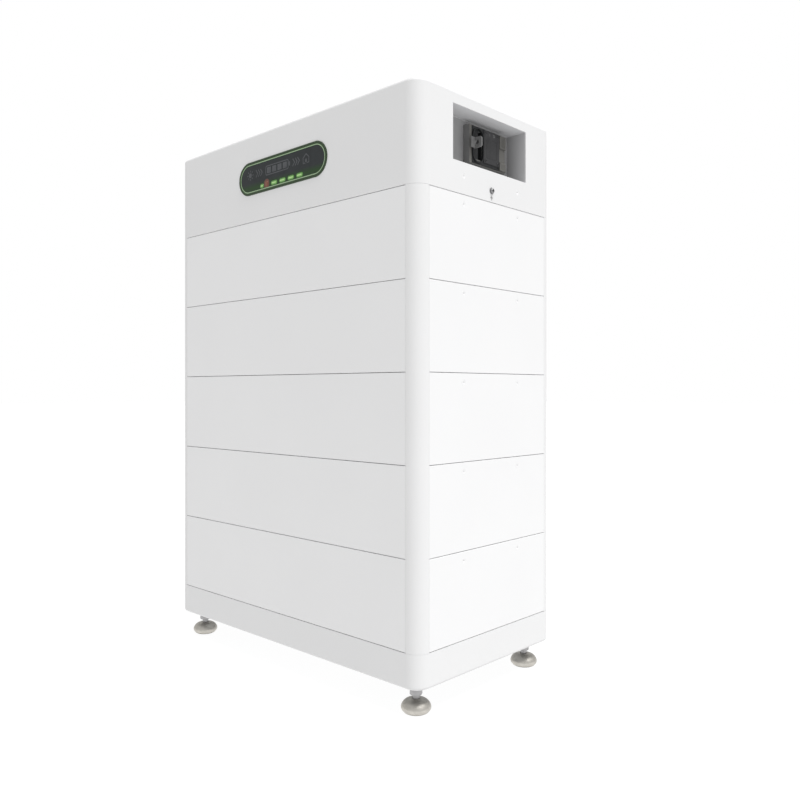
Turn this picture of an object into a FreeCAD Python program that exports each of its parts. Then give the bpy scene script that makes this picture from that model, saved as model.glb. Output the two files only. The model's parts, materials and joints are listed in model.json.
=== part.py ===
"""Floor-standing stacked battery unit, built as its separate pieces.

Five equal battery modules stand on a plinth with four levelling feet and carry a head
that holds the display, the battery breaker and the cable connectors. Four rounded corner
posts run up the stack.

Millimetres. Origin: on the floor, under the middle of the stack. +X is the side with the
breaker, -Y is the front with the display, +Z is up.
"""
import FreeCAD, Part
import os
from math import cos, radians, sin, sqrt

Vector = FreeCAD.Vector
X_AXIS = Vector(1, 0, 0)
Y_AXIS = Vector(0, 1, 0)
Z_AXIS = Vector(0, 0, 1)
ORIGIN = Vector(0, 0, 0)

# ---------------------------------------------------------------- driving dimensions
WIDTH = 696.0                # whole stack, along X
DEPTH = 382.0                # whole stack, along Y
CORNER_RADIUS = 26.0         # vertical outer corners
SHEET = 2.0                  # painted steel sheet of every shell
SEAM = 0.9                   # shadow gap between one storey's panels and the next
HAIRLINE = 0.2               # joint at the ends of the corner posts
FIT_GAP = 0.5                # general clearance of a piece dropped inside a shell

FOOT_HEIGHT = 48.8           # floor to the plinth's lower edge, feet screwed right in
PLINTH_HEIGHT = 58.0
MODULE_HEIGHT = 149.0        # pitch of the stack
MODULE_COUNT = 5
HEAD_HEIGHT = 169.5

POST_SIDE = 27.0             # square that each corner post fills
POST_NOTCH = 27.2            # square left free for it in each module

STACK_FLOOR = FOOT_HEIGHT + PLINTH_HEIGHT
HEAD_FLOOR = STACK_FLOOR + MODULE_COUNT * MODULE_HEIGHT
TOP = HEAD_FLOOR + HEAD_HEIGHT
MODULE_FLOORS = [STACK_FLOOR + i * MODULE_HEIGHT for i in range(MODULE_COUNT)]

# plinth and feet
SKIRT_BOTTOM_FILLET = 5.0
SKIRT_LIP = 10.0             # inward lip under the skirt
SKIRT_TOP_LIP = 14.0         # inward lip that the posts stand on
DECK_THICKNESS = 3.0
DECK_TOP = STACK_FLOOR - SEAM / 2 - SHEET
RAIL_HEIGHT = 36.0
RAIL_WIDTH = 30.0
FOOT_X = 309.5
FOOT_Y = 153.0
FOOT_BLOCK = 34.0
STEM_RADIUS = 6.0            # M12
RUNNING_GAP = 0.05           # radial clearance of a screw or pivot in its bore
STEM_TOP = 92.0
HEX_FLATS = 19.0
HEX_LOW = 28.5
NUT_HEIGHT = 6.0
PAD_TOP = 22.5
PAD_WIDEST_RADIUS = 25.0
PAD_WIDEST_Z = 8.5
PAD_SOLE_RADIUS = 19.3
SPIGOT_RADIUS = 6.0
SPIGOT_LOW = 12.0

# battery module
MODULE_LEDGE = 14.0          # ledge that the lid rests on
LEDGE_DROP = 6.0             # ledge underside below the module's upper edge
LID_THICKNESS = 2.0
SCREW_Y = 77.0               # side panels' screws, either side of the middle
SIDE_SCREW_DROP = 16.0       # below the module's pitch line
HEAD_SCREW_RISE = 31.0       # above the head's pitch line
CELL = (50.0, 160.0, 118.5)  # prismatic cell, along X, Y, Z
CELL_PITCH = 51.0
CELL_COLUMNS = 8
CELL_FIRST_X = -119.0
CELL_ROW_Y = 82.0
TERMINAL_RADIUS = 7.0
TERMINAL_HEIGHT = 3.0
TERMINAL_OFFSET = 55.0       # from the cell's middle, along Y
BUSBAR = (65.0, 20.0, 2.0)
BOARD_X = (-325.0, -155.0)
BOARD_Y = 150.0
BOARD_RISE = 60.0
BOARD_COLUMN_Y = (-105.0, -35.0, 35.0, 105.0)
HEAT_SINK_X = (-315.0, -285.0)
BOARD_CHIP_X = (-230.0, -205.0)
SHUNT_X = (-190.0, -170.0)
PAD_RADIUS = 12.0            # rubber pads between storeys
STACK_PAD_X = 285.0
STACK_PAD_Y = 140.0

# blind-mate link between storeys
LINK_X = -250.0
LINK_PLUG = (80.0, 22.0)
LINK_HOLE = (86.0, 28.0)
LINK_FLANGE = (96.0, 38.0)
LINK_SOCKET = (100.0, 42.0)
LINK_SOCKET_HEIGHT = 22.0
LINK_REACH = 12.0            # how far the plug stands above the storey's pitch line

# head
HEAD_TOP_FILLET = 6.0
RECESS_Y = (-105.0, 104.0)
RECESS_Z = (905.8, 998.8)
RECESS_DEPTH = 42.0
TUB_SHEET = 1.5
TUB_BACK = WIDTH / 2 - RECESS_DEPTH          # inner face of a recess's back wall

# display
DISPLAY_X = 3.0
DISPLAY_Z = 936.3
DISPLAY_LENGTH = 262.0
DISPLAY_HEIGHT = 64.0
BEZEL_WIDTH = 4.5
BEZEL_PROUD = 1.6
RING_WIDTH = 2.6
LED_DROP = 20.0              # LED row below the display's middle
LED_BAR = (16.0, 5.4)
LED_BAR_FIRST_X = -19.5      # from the display's middle
LED_BAR_PITCH = 25.0
LED_BAR_COUNT = 4
RUN_LED_X = -57.0
RUN_LED = (9.0, 5.4)
ALARM_LED_X = -42.5
ALARM_LED = (10.6, 7.6)
ALARM_LED_RISE = 1.5         # above the row's line
FRONT = -DEPTH / 2
BEZEL_OPENING = (DISPLAY_LENGTH - 2 * BEZEL_WIDTH, DISPLAY_HEIGHT - 2 * BEZEL_WIDTH)
WINDOW_SIZE = (BEZEL_OPENING[0] - 2 * RING_WIDTH, BEZEL_OPENING[1] - 2 * RING_WIDTH)
RING_FRONT = FRONT - BEZEL_PROUD + 0.5
WINDOW_FRONT = FRONT - BEZEL_PROUD + 0.7
LENS_DEPTH = (RING_FRONT, FRONT + 8)
DISPLAY_BOARD_DEPTH = (FRONT + 8.5, FRONT + 10.1)

# breaker
BREAKER_Y = (-26.0, 78.0)
BREAKER_Z = (921.8, 989.8)
BREAKER_FACE = 320.0
BREAKER_DEPTH = 74.0
RAIL_CLIP_Y = (-9.0, 61.0)    # clips behind the case
PIVOT_X = 306.0
PIVOT_Y = -5.0
PIVOT_RADIUS = 3.0
LEVER_Z = 956.8
SADDLE_RADIUS = 13.5
SADDLE_HEIGHT = 50.0
SADDLE_WALL = 2.5
SADDLE_ARC = (-80.0, 18.0)   # degrees from +X with the lever at rest
HUB_RADIUS = 5.0
SPOKE_ANGLES = (-62.0, 0.0)
CHAMBER_RADIUS = 15.0
TAB_OFFSET = -11.75          # tab's plane from the pivot, along Y, at rest
TAB_REACH = 34.0             # pivot to the tab's tip, along X, at rest
TAB_THICKNESS = 3.0
TAB_HEIGHT = 18.5
TAB_LEAF = 11.0              # foot of the tab, lying over the escutcheon's rim
TAB_LEAF_THICKNESS = 2.0
TAB_HOLE_RADIUS = 4.0
TAB_HOLE_INSET = 10.0        # padlock hole from the tab's tip
TAB_TIP_CHAMFER = 2.5
FASCIA_Y = (-20.0, 57.0)
FASCIA_Z = (923.3, 988.3)
FASCIA_THICKNESS = 1.5
ESCUTCHEON = (62.0, 31.0)
ESCUTCHEON_OPENING = (58.0, 27.0)
ESCUTCHEON_Z = 955.3
ESCUTCHEON_HEIGHT = 4.0      # above the case's face
FACEPLATE_Y = (11.5, 57.0)
FACEPLATE_Z = (928.8, 986.8)
FACEPLATE_THICKNESS = 1.5    # over the fascia
COVER_Y = (57.5, 75.2)
COVER_ROWS_Z = ((963.8, 987.3), (923.8, 938.8))
COVER_HEIGHT = 4.5
BREAKER_SCREW_RADIUS = 1.6
PLATE_BACK = BREAKER_FACE + FASCIA_THICKNESS
PLATE_FRONT = PLATE_BACK + FACEPLATE_THICKNESS

# connector bay, on the -X side
SOCKET_Y = (-71.0, -29.0)
SOCKET_Z = 951.8
SOCKET_COLLAR = 14.0
SOCKET_BORE = 7.0
SOCKET_DEPTH = 18.0
PORT_Y = (5.0, 59.0)
PORT_Z = (942.8, 960.8)
PORT_COUNT = 3
PORT_HOLE = (12.0, 9.0)
PORT_DEPTH = 14.0
PORT_PROUD = 7.0             # block's reach before the recess's back wall
PORT_BEHIND = 19.0           # and behind it
BUTTON_Y = 81.0
BUTTON_Z = 951.8
BUTTON_RADIUS = 8.0

# fasteners
SCREW_SHANK = 2.5            # M5 countersunk
SCREW_HEAD = 5.0
SCREW_LENGTH = 14.0
EARTH_Y = 0.0
EARTH_Z = 871.8
EARTH_SHANK = 3.0
TIE_X = 220.0                # threaded inserts in the rear, for wall ties
TIE_Z = 966.8
TIE_BORE = 3.4               # M8 tapping radius
TIE_BODY = 5.4
TIE_FLANGE = 8.0
TIE_LENGTH = 16.0

# inside the head, above its floor plate
HEAD_INSIDE = HEAD_FLOOR + SEAM / 2 + SHEET
STANDOFF_HEIGHT = 10.0
BOARD_THICKNESS = 2.0
CONTROL_BOARD = ((-170.0, 50.0), (-90.0, 90.0))
CONTROL_PARTS = (            # middle x and y, size along X and Y, height
    (-130, -40, 40, 40, 8), (-60, 30, 60, 30, 18), (10, -50, 24, 50, 14), (-130, 50, 30, 20, 25))
CONTACTOR_X = 120.0
CONTACTOR_Y = (-45.0, 45.0)
CONTACTOR_RADIUS = 25.0
CONTACTOR_HEIGHT = 62.0
FUSE_HOLDER = ((60.0, 180.0), (110.0, 150.0))
FUSE_RADIUS = 15.0


# ---------------------------------------------------------------- small helpers
def block(x, y, z):
    """Box from three (low, high) pairs."""
    low = Vector(min(x), min(y), min(z))
    return Part.makeBox(abs(x[1] - x[0]), abs(y[1] - y[0]), abs(z[1] - z[0]), low)


def centred_block(size, centre_x, centre_y, z):
    """Box with its middle at one point in plan and a (low, high) height."""
    half_x, half_y = size[0] / 2, size[1] / 2
    return block((centre_x - half_x, centre_x + half_x), (centre_y - half_y, centre_y + half_y), z)


def post(radius, x, y, z):
    """Upright cylinder between a (low, high) pair of heights."""
    return Part.makeCylinder(radius, z[1] - z[0], Vector(x, y, z[0]), Z_AXIS)


def bar_x(radius, x, y, z):
    """Cylinder along X between a (low, high) pair."""
    return Part.makeCylinder(radius, max(x) - min(x), Vector(min(x), y, z), X_AXIS)


def bar_y(radius, x, y, z):
    """Cylinder along Y between a (low, high) pair."""
    return Part.makeCylinder(radius, max(y) - min(y), Vector(x, min(y), z), Y_AXIS)


def hexagon(flats, x, y, z):
    """Upright hexagonal prism."""
    radius = flats / sqrt(3)
    corners = [Vector(x + radius * cos(radians(60 * k)), y + radius * sin(radians(60 * k)), z[0])
               for k in range(7)]
    return Part.Face(Part.makePolygon(corners)).extrude(Vector(0, 0, z[1] - z[0]))


def rounded_prism(inset, radius, z):
    """The stack's plan outline, moved inwards, as a prism with rounded corners."""
    half_x, half_y = WIDTH / 2 - inset, DEPTH / 2 - inset
    solid = block((-half_x, half_x), (-half_y, half_y), z)
    corners = [edge for edge in solid.Edges if edge.Length == z[1] - z[0] and is_upright(edge)]
    return solid.makeFillet(radius, corners)


def is_upright(edge):
    """True for a straight edge along Z."""
    ends = [vertex.Point for vertex in edge.Vertexes]
    return len(ends) == 2 and abs(ends[0].x - ends[1].x) < 1e-6 and abs(ends[0].y - ends[1].y) < 1e-6


def level_edges(solid, height):
    """Edges that lie at one height."""
    return [edge for edge in solid.Edges
            if abs(edge.BoundBox.ZMin - height) < 1e-6 and abs(edge.BoundBox.ZMax - height) < 1e-6]


def edges_at_x(solid, x):
    """Edges of a solid's flat face at one X."""
    return [edge for edge in solid.Edges
            if abs(edge.BoundBox.XMin - x) < 1e-6 and abs(edge.BoundBox.XMax - x) < 1e-6]


def notched_prism(inset, z):
    """A module's plan: the stack's rectangle without its four corner squares, moved inwards."""
    out_x, out_y = WIDTH / 2 - inset, DEPTH / 2 - inset
    in_x, in_y = out_x - POST_NOTCH, out_y - POST_NOTCH
    corners = [(out_x, -in_y), (out_x, in_y), (in_x, in_y), (in_x, out_y),
               (-in_x, out_y), (-in_x, in_y), (-out_x, in_y), (-out_x, -in_y),
               (-in_x, -in_y), (-in_x, -out_y), (in_x, -out_y), (in_x, -in_y)]
    loop = [Vector(x, y, z[0]) for x, y in corners + corners[:1]]
    return Part.Face(Part.makePolygon(loop)).extrude(Vector(0, 0, z[1] - z[0]))


def stadium(x, z, size, y):
    """Round-ended bar seen from the front, at (x, z), between two Y values."""
    length, height = size
    radius = height / 2
    left, right = x - length / 2 + radius, x + length / 2 - radius
    low, high = z - radius, z + radius
    low_right, high_right = Vector(right, y[0], low), Vector(right, y[0], high)
    low_left, high_left = Vector(left, y[0], low), Vector(left, y[0], high)
    wire = Part.Wire([
        Part.LineSegment(low_left, low_right).toShape(),
        Part.Arc(low_right, Vector(right + radius, y[0], z), high_right).toShape(),
        Part.LineSegment(high_right, high_left).toShape(),
        Part.Arc(high_left, Vector(left - radius, y[0], z), low_left).toShape(),
    ])
    return Part.Face(wire).extrude(Vector(0, y[1] - y[0], 0))


def turned(shape, x, z):
    """The same shape turned upright about a Y line at (x, z)."""
    copy = shape.copy()
    copy.rotate(Vector(x, 0, z), Y_AXIS, 90)
    return copy


def mirrored(shape):
    """The same shape on the other side of the YZ plane."""
    return shape.mirror(ORIGIN, X_AXIS)


def countersunk_screw(side, y, z, gap=0.0):
    """Flush screw through a side panel; side is +1 or -1. A gap makes its hole instead."""
    face = side * WIDTH / 2
    inward = Vector(-side, 0, 0)
    head = Part.makeCone(SCREW_HEAD + gap, SCREW_SHANK + gap, SHEET, Vector(face, y, z), inward)
    shank = Part.makeCylinder(SCREW_SHANK + gap, SCREW_LENGTH, Vector(face, y, z), inward)
    return head.fuse(shank).removeSplitter()


# ---------------------------------------------------------------- plinth and feet
def foot_places():
    """Name and plan position of each foot."""
    return [("front_left", -FOOT_X, -FOOT_Y), ("front_right", FOOT_X, -FOOT_Y),
            ("rear_left", -FOOT_X, FOOT_Y), ("rear_right", FOOT_X, FOOT_Y)]


def base_skirt():
    """Painted ring round the plinth, lipped inwards at the top and the bottom."""
    skirt_top = STACK_FLOOR - SEAM / 2
    outer = rounded_prism(0, CORNER_RADIUS, (FOOT_HEIGHT, skirt_top))
    outer = outer.makeFillet(SKIRT_BOTTOM_FILLET, level_edges(outer, FOOT_HEIGHT))
    room = rounded_prism(SHEET, CORNER_RADIUS - SHEET, (FOOT_HEIGHT + SHEET, skirt_top - SHEET))
    below = rounded_prism(SKIRT_LIP, 4.0, (FOOT_HEIGHT - 1, FOOT_HEIGHT + SHEET + 1))
    top_radius = CORNER_RADIUS - SKIRT_TOP_LIP
    above = rounded_prism(SKIRT_TOP_LIP, top_radius, (skirt_top - SHEET - 1, skirt_top + 1))
    return outer.cut(room).cut(below).cut(above)


def base_frame():
    """Welded deck, rails and corner blocks that carry the stack; the blocks take the feet."""
    deck_low = DECK_TOP - DECK_THICKNESS
    frame = rounded_prism(SHEET + FIT_GAP, CORNER_RADIUS - SHEET - FIT_GAP, (deck_low, DECK_TOP))
    rail_low = deck_low - RAIL_HEIGHT
    half_rail = RAIL_WIDTH / 2
    reach_x = FOOT_X - FOOT_BLOCK / 2
    reach_y = FOOT_Y - FOOT_BLOCK / 2
    for side in (-1, 1):
        long_rail = block((-reach_x, reach_x), (side * FOOT_Y - half_rail, side * FOOT_Y + half_rail),
                          (rail_low, deck_low))
        hollow = block((-reach_x, reach_x),
                       (side * FOOT_Y - half_rail + SHEET, side * FOOT_Y + half_rail - SHEET),
                       (rail_low + SHEET, deck_low - SHEET))
        frame = frame.fuse(long_rail.cut(hollow))
        cross_rail = block((side * FOOT_X - half_rail, side * FOOT_X + half_rail), (-reach_y, reach_y),
                           (rail_low, deck_low))
        hollow = block((side * FOOT_X - half_rail + SHEET, side * FOOT_X + half_rail - SHEET),
                       (-reach_y, reach_y), (rail_low + SHEET, deck_low - SHEET))
        frame = frame.fuse(cross_rail.cut(hollow))
    for _, x, y in foot_places():
        frame = frame.fuse(centred_block((FOOT_BLOCK, FOOT_BLOCK), x, y, (FOOT_HEIGHT, deck_low)))
    for _, x, y in foot_places():
        frame = frame.cut(post(STEM_RADIUS + RUNNING_GAP, x, y, (FOOT_HEIGHT - 1, STEM_TOP + 2)))
    return frame.removeSplitter()


def lock_nuts():
    """One thin hexagon nut under each corner block."""
    nuts = []
    for _, x, y in foot_places():
        height = (FOOT_HEIGHT - NUT_HEIGHT, FOOT_HEIGHT)
        nuts.append(hexagon(HEX_FLATS, x, y, height).cut(post(STEM_RADIUS + RUNNING_GAP, x, y, height)))
    return nuts


def foot_pad(x, y):
    """Pad that stands on the floor, a flattened ball with a bore for the stem's spigot."""
    sole, widest = Vector(PAD_SOLE_RADIUS, 0, 0), Vector(PAD_WIDEST_RADIUS, 0, PAD_WIDEST_Z)
    rim, neck = Vector(11.5, 0, 20.6), Vector(9.5, 0, PAD_TOP)
    profile = Part.Wire([
        Part.LineSegment(ORIGIN, sole).toShape(),
        Part.Arc(sole, Vector(23.5, 0, 3.9), widest).toShape(),
        Part.Arc(widest, Vector(20.9, 0, 16.0), rim).toShape(),
        Part.LineSegment(rim, neck).toShape(),
        Part.LineSegment(neck, Vector(0, 0, PAD_TOP)).toShape(),
        Part.LineSegment(Vector(0, 0, PAD_TOP), ORIGIN).toShape(),
    ])
    pad = Part.Face(profile).revolve(ORIGIN, Z_AXIS, 360)
    pad.translate(Vector(x, y, 0))
    return pad.cut(post(SPIGOT_RADIUS + RUNNING_GAP, x, y, (SPIGOT_LOW - HAIRLINE, PAD_TOP + 1)))


def foot_stem(x, y):
    """M12 stem with its spanner hexagon and the spigot that turns in the pad."""
    hexagon_top = FOOT_HEIGHT - NUT_HEIGHT - HAIRLINE
    stem = hexagon(HEX_FLATS, x, y, (HEX_LOW, hexagon_top))
    stem = stem.fuse(post(SPIGOT_RADIUS, x, y, (SPIGOT_LOW, HEX_LOW)))
    stem = stem.fuse(post(STEM_RADIUS, x, y, (hexagon_top, STEM_TOP)))
    return stem.makeChamfer(1.0, level_edges(stem, STEM_TOP))


# ---------------------------------------------------------------- corner posts
def corner_post(side_x, side_y):
    """Rounded hollow post in one corner, from the plinth to the head."""
    height = (STACK_FLOOR - SEAM / 2 + HAIRLINE, HEAD_FLOOR + SEAM / 2 - HAIRLINE)
    half_x, half_y = WIDTH / 2, DEPTH / 2

    def corner_of(inset, radius, low_inset):
        near_x = side_x * (half_x - POST_SIDE + low_inset)
        near_y = side_y * (half_y - POST_SIDE + low_inset)
        corner = block((near_x, side_x * half_x), (near_y, side_y * half_y), height)
        return rounded_prism(inset, radius, height).common(corner)

    outside = corner_of(0, CORNER_RADIUS, 0)
    inside = corner_of(SHEET, CORNER_RADIUS - SHEET, SHEET)
    return outside.cut(inside)


# ---------------------------------------------------------------- battery module
def module_case(floor):
    """Steel tray of one module: walls with corner notches, a floor and a ledge for the lid."""
    low, high = floor + SEAM / 2, floor + MODULE_HEIGHT - SEAM / 2
    ledge_low = high - LEDGE_DROP
    case = notched_prism(0, (low, high))
    case = case.makeChamfer(0.6, level_edges(case, low) + level_edges(case, high))
    case = case.cut(notched_prism(SHEET, (low + SHEET, ledge_low)))
    case = case.cut(notched_prism(MODULE_LEDGE, (ledge_low - 1, ledge_low + SHEET)))
    case = case.cut(notched_prism(SHEET, (ledge_low + SHEET, high + 1)))
    case = case.cut(centred_block(LINK_HOLE, LINK_X, 0, (low - 1, low + SHEET + 1)))
    for side in (-1, 1):
        for y in (-SCREW_Y, SCREW_Y):
            case = case.cut(countersunk_screw(side, y, floor + MODULE_HEIGHT - SIDE_SCREW_DROP, gap=0.1))
    return case


def module_lid(floor):
    """Inset lid plate of one module, with a hole for the link plug."""
    low = floor + MODULE_HEIGHT - SEAM / 2 - LEDGE_DROP + SHEET
    lid = notched_prism(SHEET + FIT_GAP, (low, low + LID_THICKNESS))
    return lid.cut(centred_block(LINK_HOLE, LINK_X, 0, (low - 1, low + LID_THICKNESS + 1)))


def cell_places():
    """Plan position of each cell in a module, with its column number and row side."""
    return [(CELL_FIRST_X + column * CELL_PITCH, row * CELL_ROW_Y, column, row)
            for row in (-1, 1) for column in range(CELL_COLUMNS)]


def module_cells(floor):
    """Sixteen prismatic cells with two terminals each."""
    low = floor + SEAM / 2 + SHEET
    high = low + CELL[2]
    cells = []
    for x, y, _, _ in cell_places():
        cell = centred_block(CELL[:2], x, y, (low, high))
        for end_y in (y - TERMINAL_OFFSET, y + TERMINAL_OFFSET):
            cell = cell.fuse(post(TERMINAL_RADIUS, x, end_y, (high, high + TERMINAL_HEIGHT)))
        cells.append(cell)
    return cells


def module_busbars(floor):
    """Bars that join the sixteen cells of one module in series."""
    low = floor + SEAM / 2 + SHEET + CELL[2] + TERMINAL_HEIGHT
    height = (low, low + BUSBAR[2])
    bars = []
    for x, y, column, row in cell_places():
        if column == CELL_COLUMNS - 1:
            continue
        end = -1 if column % 2 else 1
        bars.append(centred_block(BUSBAR[:2], x + CELL_PITCH / 2, y + end * row * TERMINAL_OFFSET, height))
    last_x = CELL_FIRST_X + (CELL_COLUMNS - 1) * CELL_PITCH
    inner_y = CELL_ROW_Y - TERMINAL_OFFSET
    bars.append(block((last_x - BUSBAR[1] / 2, last_x + BUSBAR[1] / 2),
                      (-inner_y - BUSBAR[1] / 2, inner_y + BUSBAR[1] / 2), height))
    return bars


def bms_board(floor):
    """Battery management board of one module: the board, its heat sinks and a current shunt."""
    low = floor + BOARD_RISE
    board = block(BOARD_X, (-BOARD_Y, BOARD_Y), (low, low + SHEET))
    high = low + SHEET
    for y in BOARD_COLUMN_Y:
        board = board.fuse(block(HEAT_SINK_X, (y - 22, y + 22), (high, high + 14)))
        board = board.fuse(block(BOARD_CHIP_X, (y - 9, y + 9), (high, high + 6)))
    return board.fuse(block(SHUNT_X, (-60, 60), (high, high + 4))).removeSplitter()


def stacking_pads(joint_height):
    """Rubber pads that carry one storey on the one below."""
    height = (joint_height - SEAM / 2 - SHEET, joint_height + SEAM / 2)
    return [post(PAD_RADIUS, side_x * STACK_PAD_X, side_y * STACK_PAD_Y, height)
            for side_x in (-1, 1) for side_y in (-1, 1)]


def link_plug(floor):
    """Plug that stands up through a module's lid into the storey above."""
    lid_top = floor + MODULE_HEIGHT - SEAM / 2 - LEDGE_DROP + SHEET + LID_THICKNESS
    joint = floor + MODULE_HEIGHT
    plug = centred_block(LINK_PLUG, LINK_X, 0, (lid_top - 22, joint + LINK_REACH))
    flange = centred_block(LINK_FLANGE, LINK_X, 0, (lid_top, joint - 0.5))
    return plug.fuse(flange).removeSplitter()


def link_socket(floor):
    """Socket in a storey's floor that the plug below goes into."""
    low = floor + SEAM / 2 + SHEET
    shell = centred_block(LINK_SOCKET, LINK_X, 0, (low, low + LINK_SOCKET_HEIGHT))
    return shell.cut(centred_block(LINK_HOLE, LINK_X, 0, (low, low + LINK_SOCKET_HEIGHT - 3)))


def side_screws():
    """All flush screws in the side panels of the modules and the head."""
    screws = []
    for side in (-1, 1):
        for floor in MODULE_FLOORS:
            height = floor + MODULE_HEIGHT - SIDE_SCREW_DROP
            screws += [countersunk_screw(side, y, height) for y in (-SCREW_Y, SCREW_Y)]
        height = HEAD_FLOOR + HEAD_SCREW_RISE
        screws += [countersunk_screw(side, y, height) for y in (-SCREW_Y, SCREW_Y)]
    return screws


# ---------------------------------------------------------------- head
def recess_hole(side):
    """Cut-out of a side recess in the head's wall."""
    return block((side * (WIDTH / 2 - SHEET - 1), side * (WIDTH / 2 + 1)), RECESS_Y, RECESS_Z)


def head_shell():
    """Painted hood of the head, with its cut-outs."""
    low = HEAD_FLOOR + SEAM / 2
    hood = rounded_prism(0, CORNER_RADIUS, (low, TOP))
    hood = hood.makeFillet(HEAD_TOP_FILLET, level_edges(hood, TOP))
    hood = hood.makeChamfer(0.6, level_edges(hood, low))
    room = rounded_prism(SHEET, CORNER_RADIUS - SHEET, (low - 10, TOP - SHEET))
    room = room.makeFillet(HEAD_TOP_FILLET - SHEET, level_edges(room, TOP - SHEET))
    hood = hood.cut(room)
    through_front = (-DEPTH / 2 - 1, -DEPTH / 2 + SHEET + 1)
    hood = hood.cut(stadium(DISPLAY_X, DISPLAY_Z, (DISPLAY_LENGTH - 4, DISPLAY_HEIGHT - 4), through_front))
    for side in (-1, 1):
        hood = hood.cut(recess_hole(side))
        for y in (-SCREW_Y, SCREW_Y):
            hood = hood.cut(countersunk_screw(side, y, HEAD_FLOOR + HEAD_SCREW_RISE, gap=0.1))
        hood = hood.cut(bar_y(TIE_BODY + 0.1, side * TIE_X, (DEPTH / 2 - 5, DEPTH / 2 + 1), TIE_Z))
    return hood.cut(bar_x(EARTH_SHANK + 0.2, (WIDTH / 2 - 5, WIDTH / 2 + 1), EARTH_Y, EARTH_Z))


def head_base_plate():
    """Floor of the head, with the hole for the top module's link plug."""
    low = HEAD_FLOOR + SEAM / 2
    plate = rounded_prism(SHEET + FIT_GAP, CORNER_RADIUS - SHEET - FIT_GAP, (low, low + SHEET))
    return plate.cut(centred_block(LINK_HOLE, LINK_X, 0, (low - 1, low + SHEET + 1)))


def recess_tub():
    """Folded sheet box behind the cut-out on the +X side; open to the outside."""
    rim = WIDTH / 2 - SHEET
    outer = block((TUB_BACK - TUB_SHEET, rim), (RECESS_Y[0] - TUB_SHEET, RECESS_Y[1] + TUB_SHEET),
                  (RECESS_Z[0] - TUB_SHEET, RECESS_Z[1] + TUB_SHEET))
    return outer.cut(block((TUB_BACK, rim + 1), RECESS_Y, RECESS_Z))


def breaker_tub():
    """The +X recess, with the hole that the breaker passes through."""
    gap = 0.3
    hole = block((TUB_BACK - 5, TUB_BACK + 1), (BREAKER_Y[0] - gap, BREAKER_Y[1] + gap),
                 (BREAKER_Z[0] - gap, BREAKER_Z[1] + gap))
    return recess_tub().cut(hole)


def connector_tub():
    """The -X recess, with holes for sockets, ports and the button."""
    tub = mirrored(recess_tub())
    wall = (-TUB_BACK - 1, -TUB_BACK + 5)
    for y in SOCKET_Y:
        tub = tub.cut(bar_x(SOCKET_COLLAR - 2, wall, y, SOCKET_Z))
    tub = tub.cut(block(wall, (PORT_Y[0] - 0.2, PORT_Y[1] + 0.2), (PORT_Z[0] - 0.2, PORT_Z[1] + 0.2)))
    return tub.cut(bar_x(BUTTON_RADIUS + 2.5, wall, BUTTON_Y, BUTTON_Z))


# ---------------------------------------------------------------- display
def display_bezel():
    """Black frame of the display: a front flange and a collar through the hood."""
    size = (DISPLAY_LENGTH, DISPLAY_HEIGHT)
    flange = stadium(DISPLAY_X, DISPLAY_Z, size, (FRONT - BEZEL_PROUD, FRONT))
    face_edges = [edge for edge in flange.Edges
                  if abs(edge.BoundBox.YMax - (FRONT - BEZEL_PROUD)) < 1e-6]
    flange = flange.makeFillet(0.8, face_edges)
    collar_size = (DISPLAY_LENGTH - 4.4, DISPLAY_HEIGHT - 4.4)
    collar = stadium(DISPLAY_X, DISPLAY_Z, collar_size, (FRONT, FRONT + 8))
    opening = stadium(DISPLAY_X, DISPLAY_Z, BEZEL_OPENING, (FRONT - 5, FRONT + 9))
    return flange.fuse(collar).cut(opening).removeSplitter()


def light_ring():
    """Light guide between the bezel and the window."""
    gap = 0.2
    outside = (BEZEL_OPENING[0] - gap, BEZEL_OPENING[1] - gap)
    inside = (WINDOW_SIZE[0] + gap, WINDOW_SIZE[1] + gap)
    ring = stadium(DISPLAY_X, DISPLAY_Z, outside, (RING_FRONT, FRONT + 6))
    return ring.cut(stadium(DISPLAY_X, DISPLAY_Z, inside, (FRONT - 5, FRONT + 9)))


def led_lens(kind, depth, gap=0.0):
    """Lenses of one kind of LED: 'run', 'alarm' or 'charge'. A gap makes their holes."""
    row_z = DISPLAY_Z - LED_DROP
    if kind == "run":
        return [stadium(DISPLAY_X + RUN_LED_X, row_z, (RUN_LED[0] + gap, RUN_LED[1] + gap), depth)]
    if kind == "alarm":
        x, z = DISPLAY_X + ALARM_LED_X, row_z + ALARM_LED_RISE
        return [turned(stadium(x, z, (ALARM_LED[0] + gap, ALARM_LED[1] + gap), depth), x, z)]
    bar = (LED_BAR[0] + gap, LED_BAR[1] + gap)
    return [stadium(DISPLAY_X + LED_BAR_FIRST_X + k * LED_BAR_PITCH, row_z, bar, depth)
            for k in range(LED_BAR_COUNT)]


def display_window():
    """Dark cover of the display, pierced for the LED lenses."""
    window = stadium(DISPLAY_X, DISPLAY_Z, WINDOW_SIZE, (WINDOW_FRONT, FRONT + 3))
    for kind in ("run", "alarm", "charge"):
        for hole in led_lens(kind, (FRONT - 5, FRONT + 9), gap=0.2):
            window = window.cut(hole)
    return window


def display_board():
    """Circuit board behind the window, with its cable header."""
    size = (DISPLAY_LENGTH - 12, DISPLAY_HEIGHT - 12)
    board = stadium(DISPLAY_X, DISPLAY_Z, size, DISPLAY_BOARD_DEPTH)
    rear = DISPLAY_BOARD_DEPTH[1]
    header = block((DISPLAY_X + 60, DISPLAY_X + 90), (rear, rear + 9), (DISPLAY_Z - 5, DISPLAY_Z + 5))
    return board.fuse(header)


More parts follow.
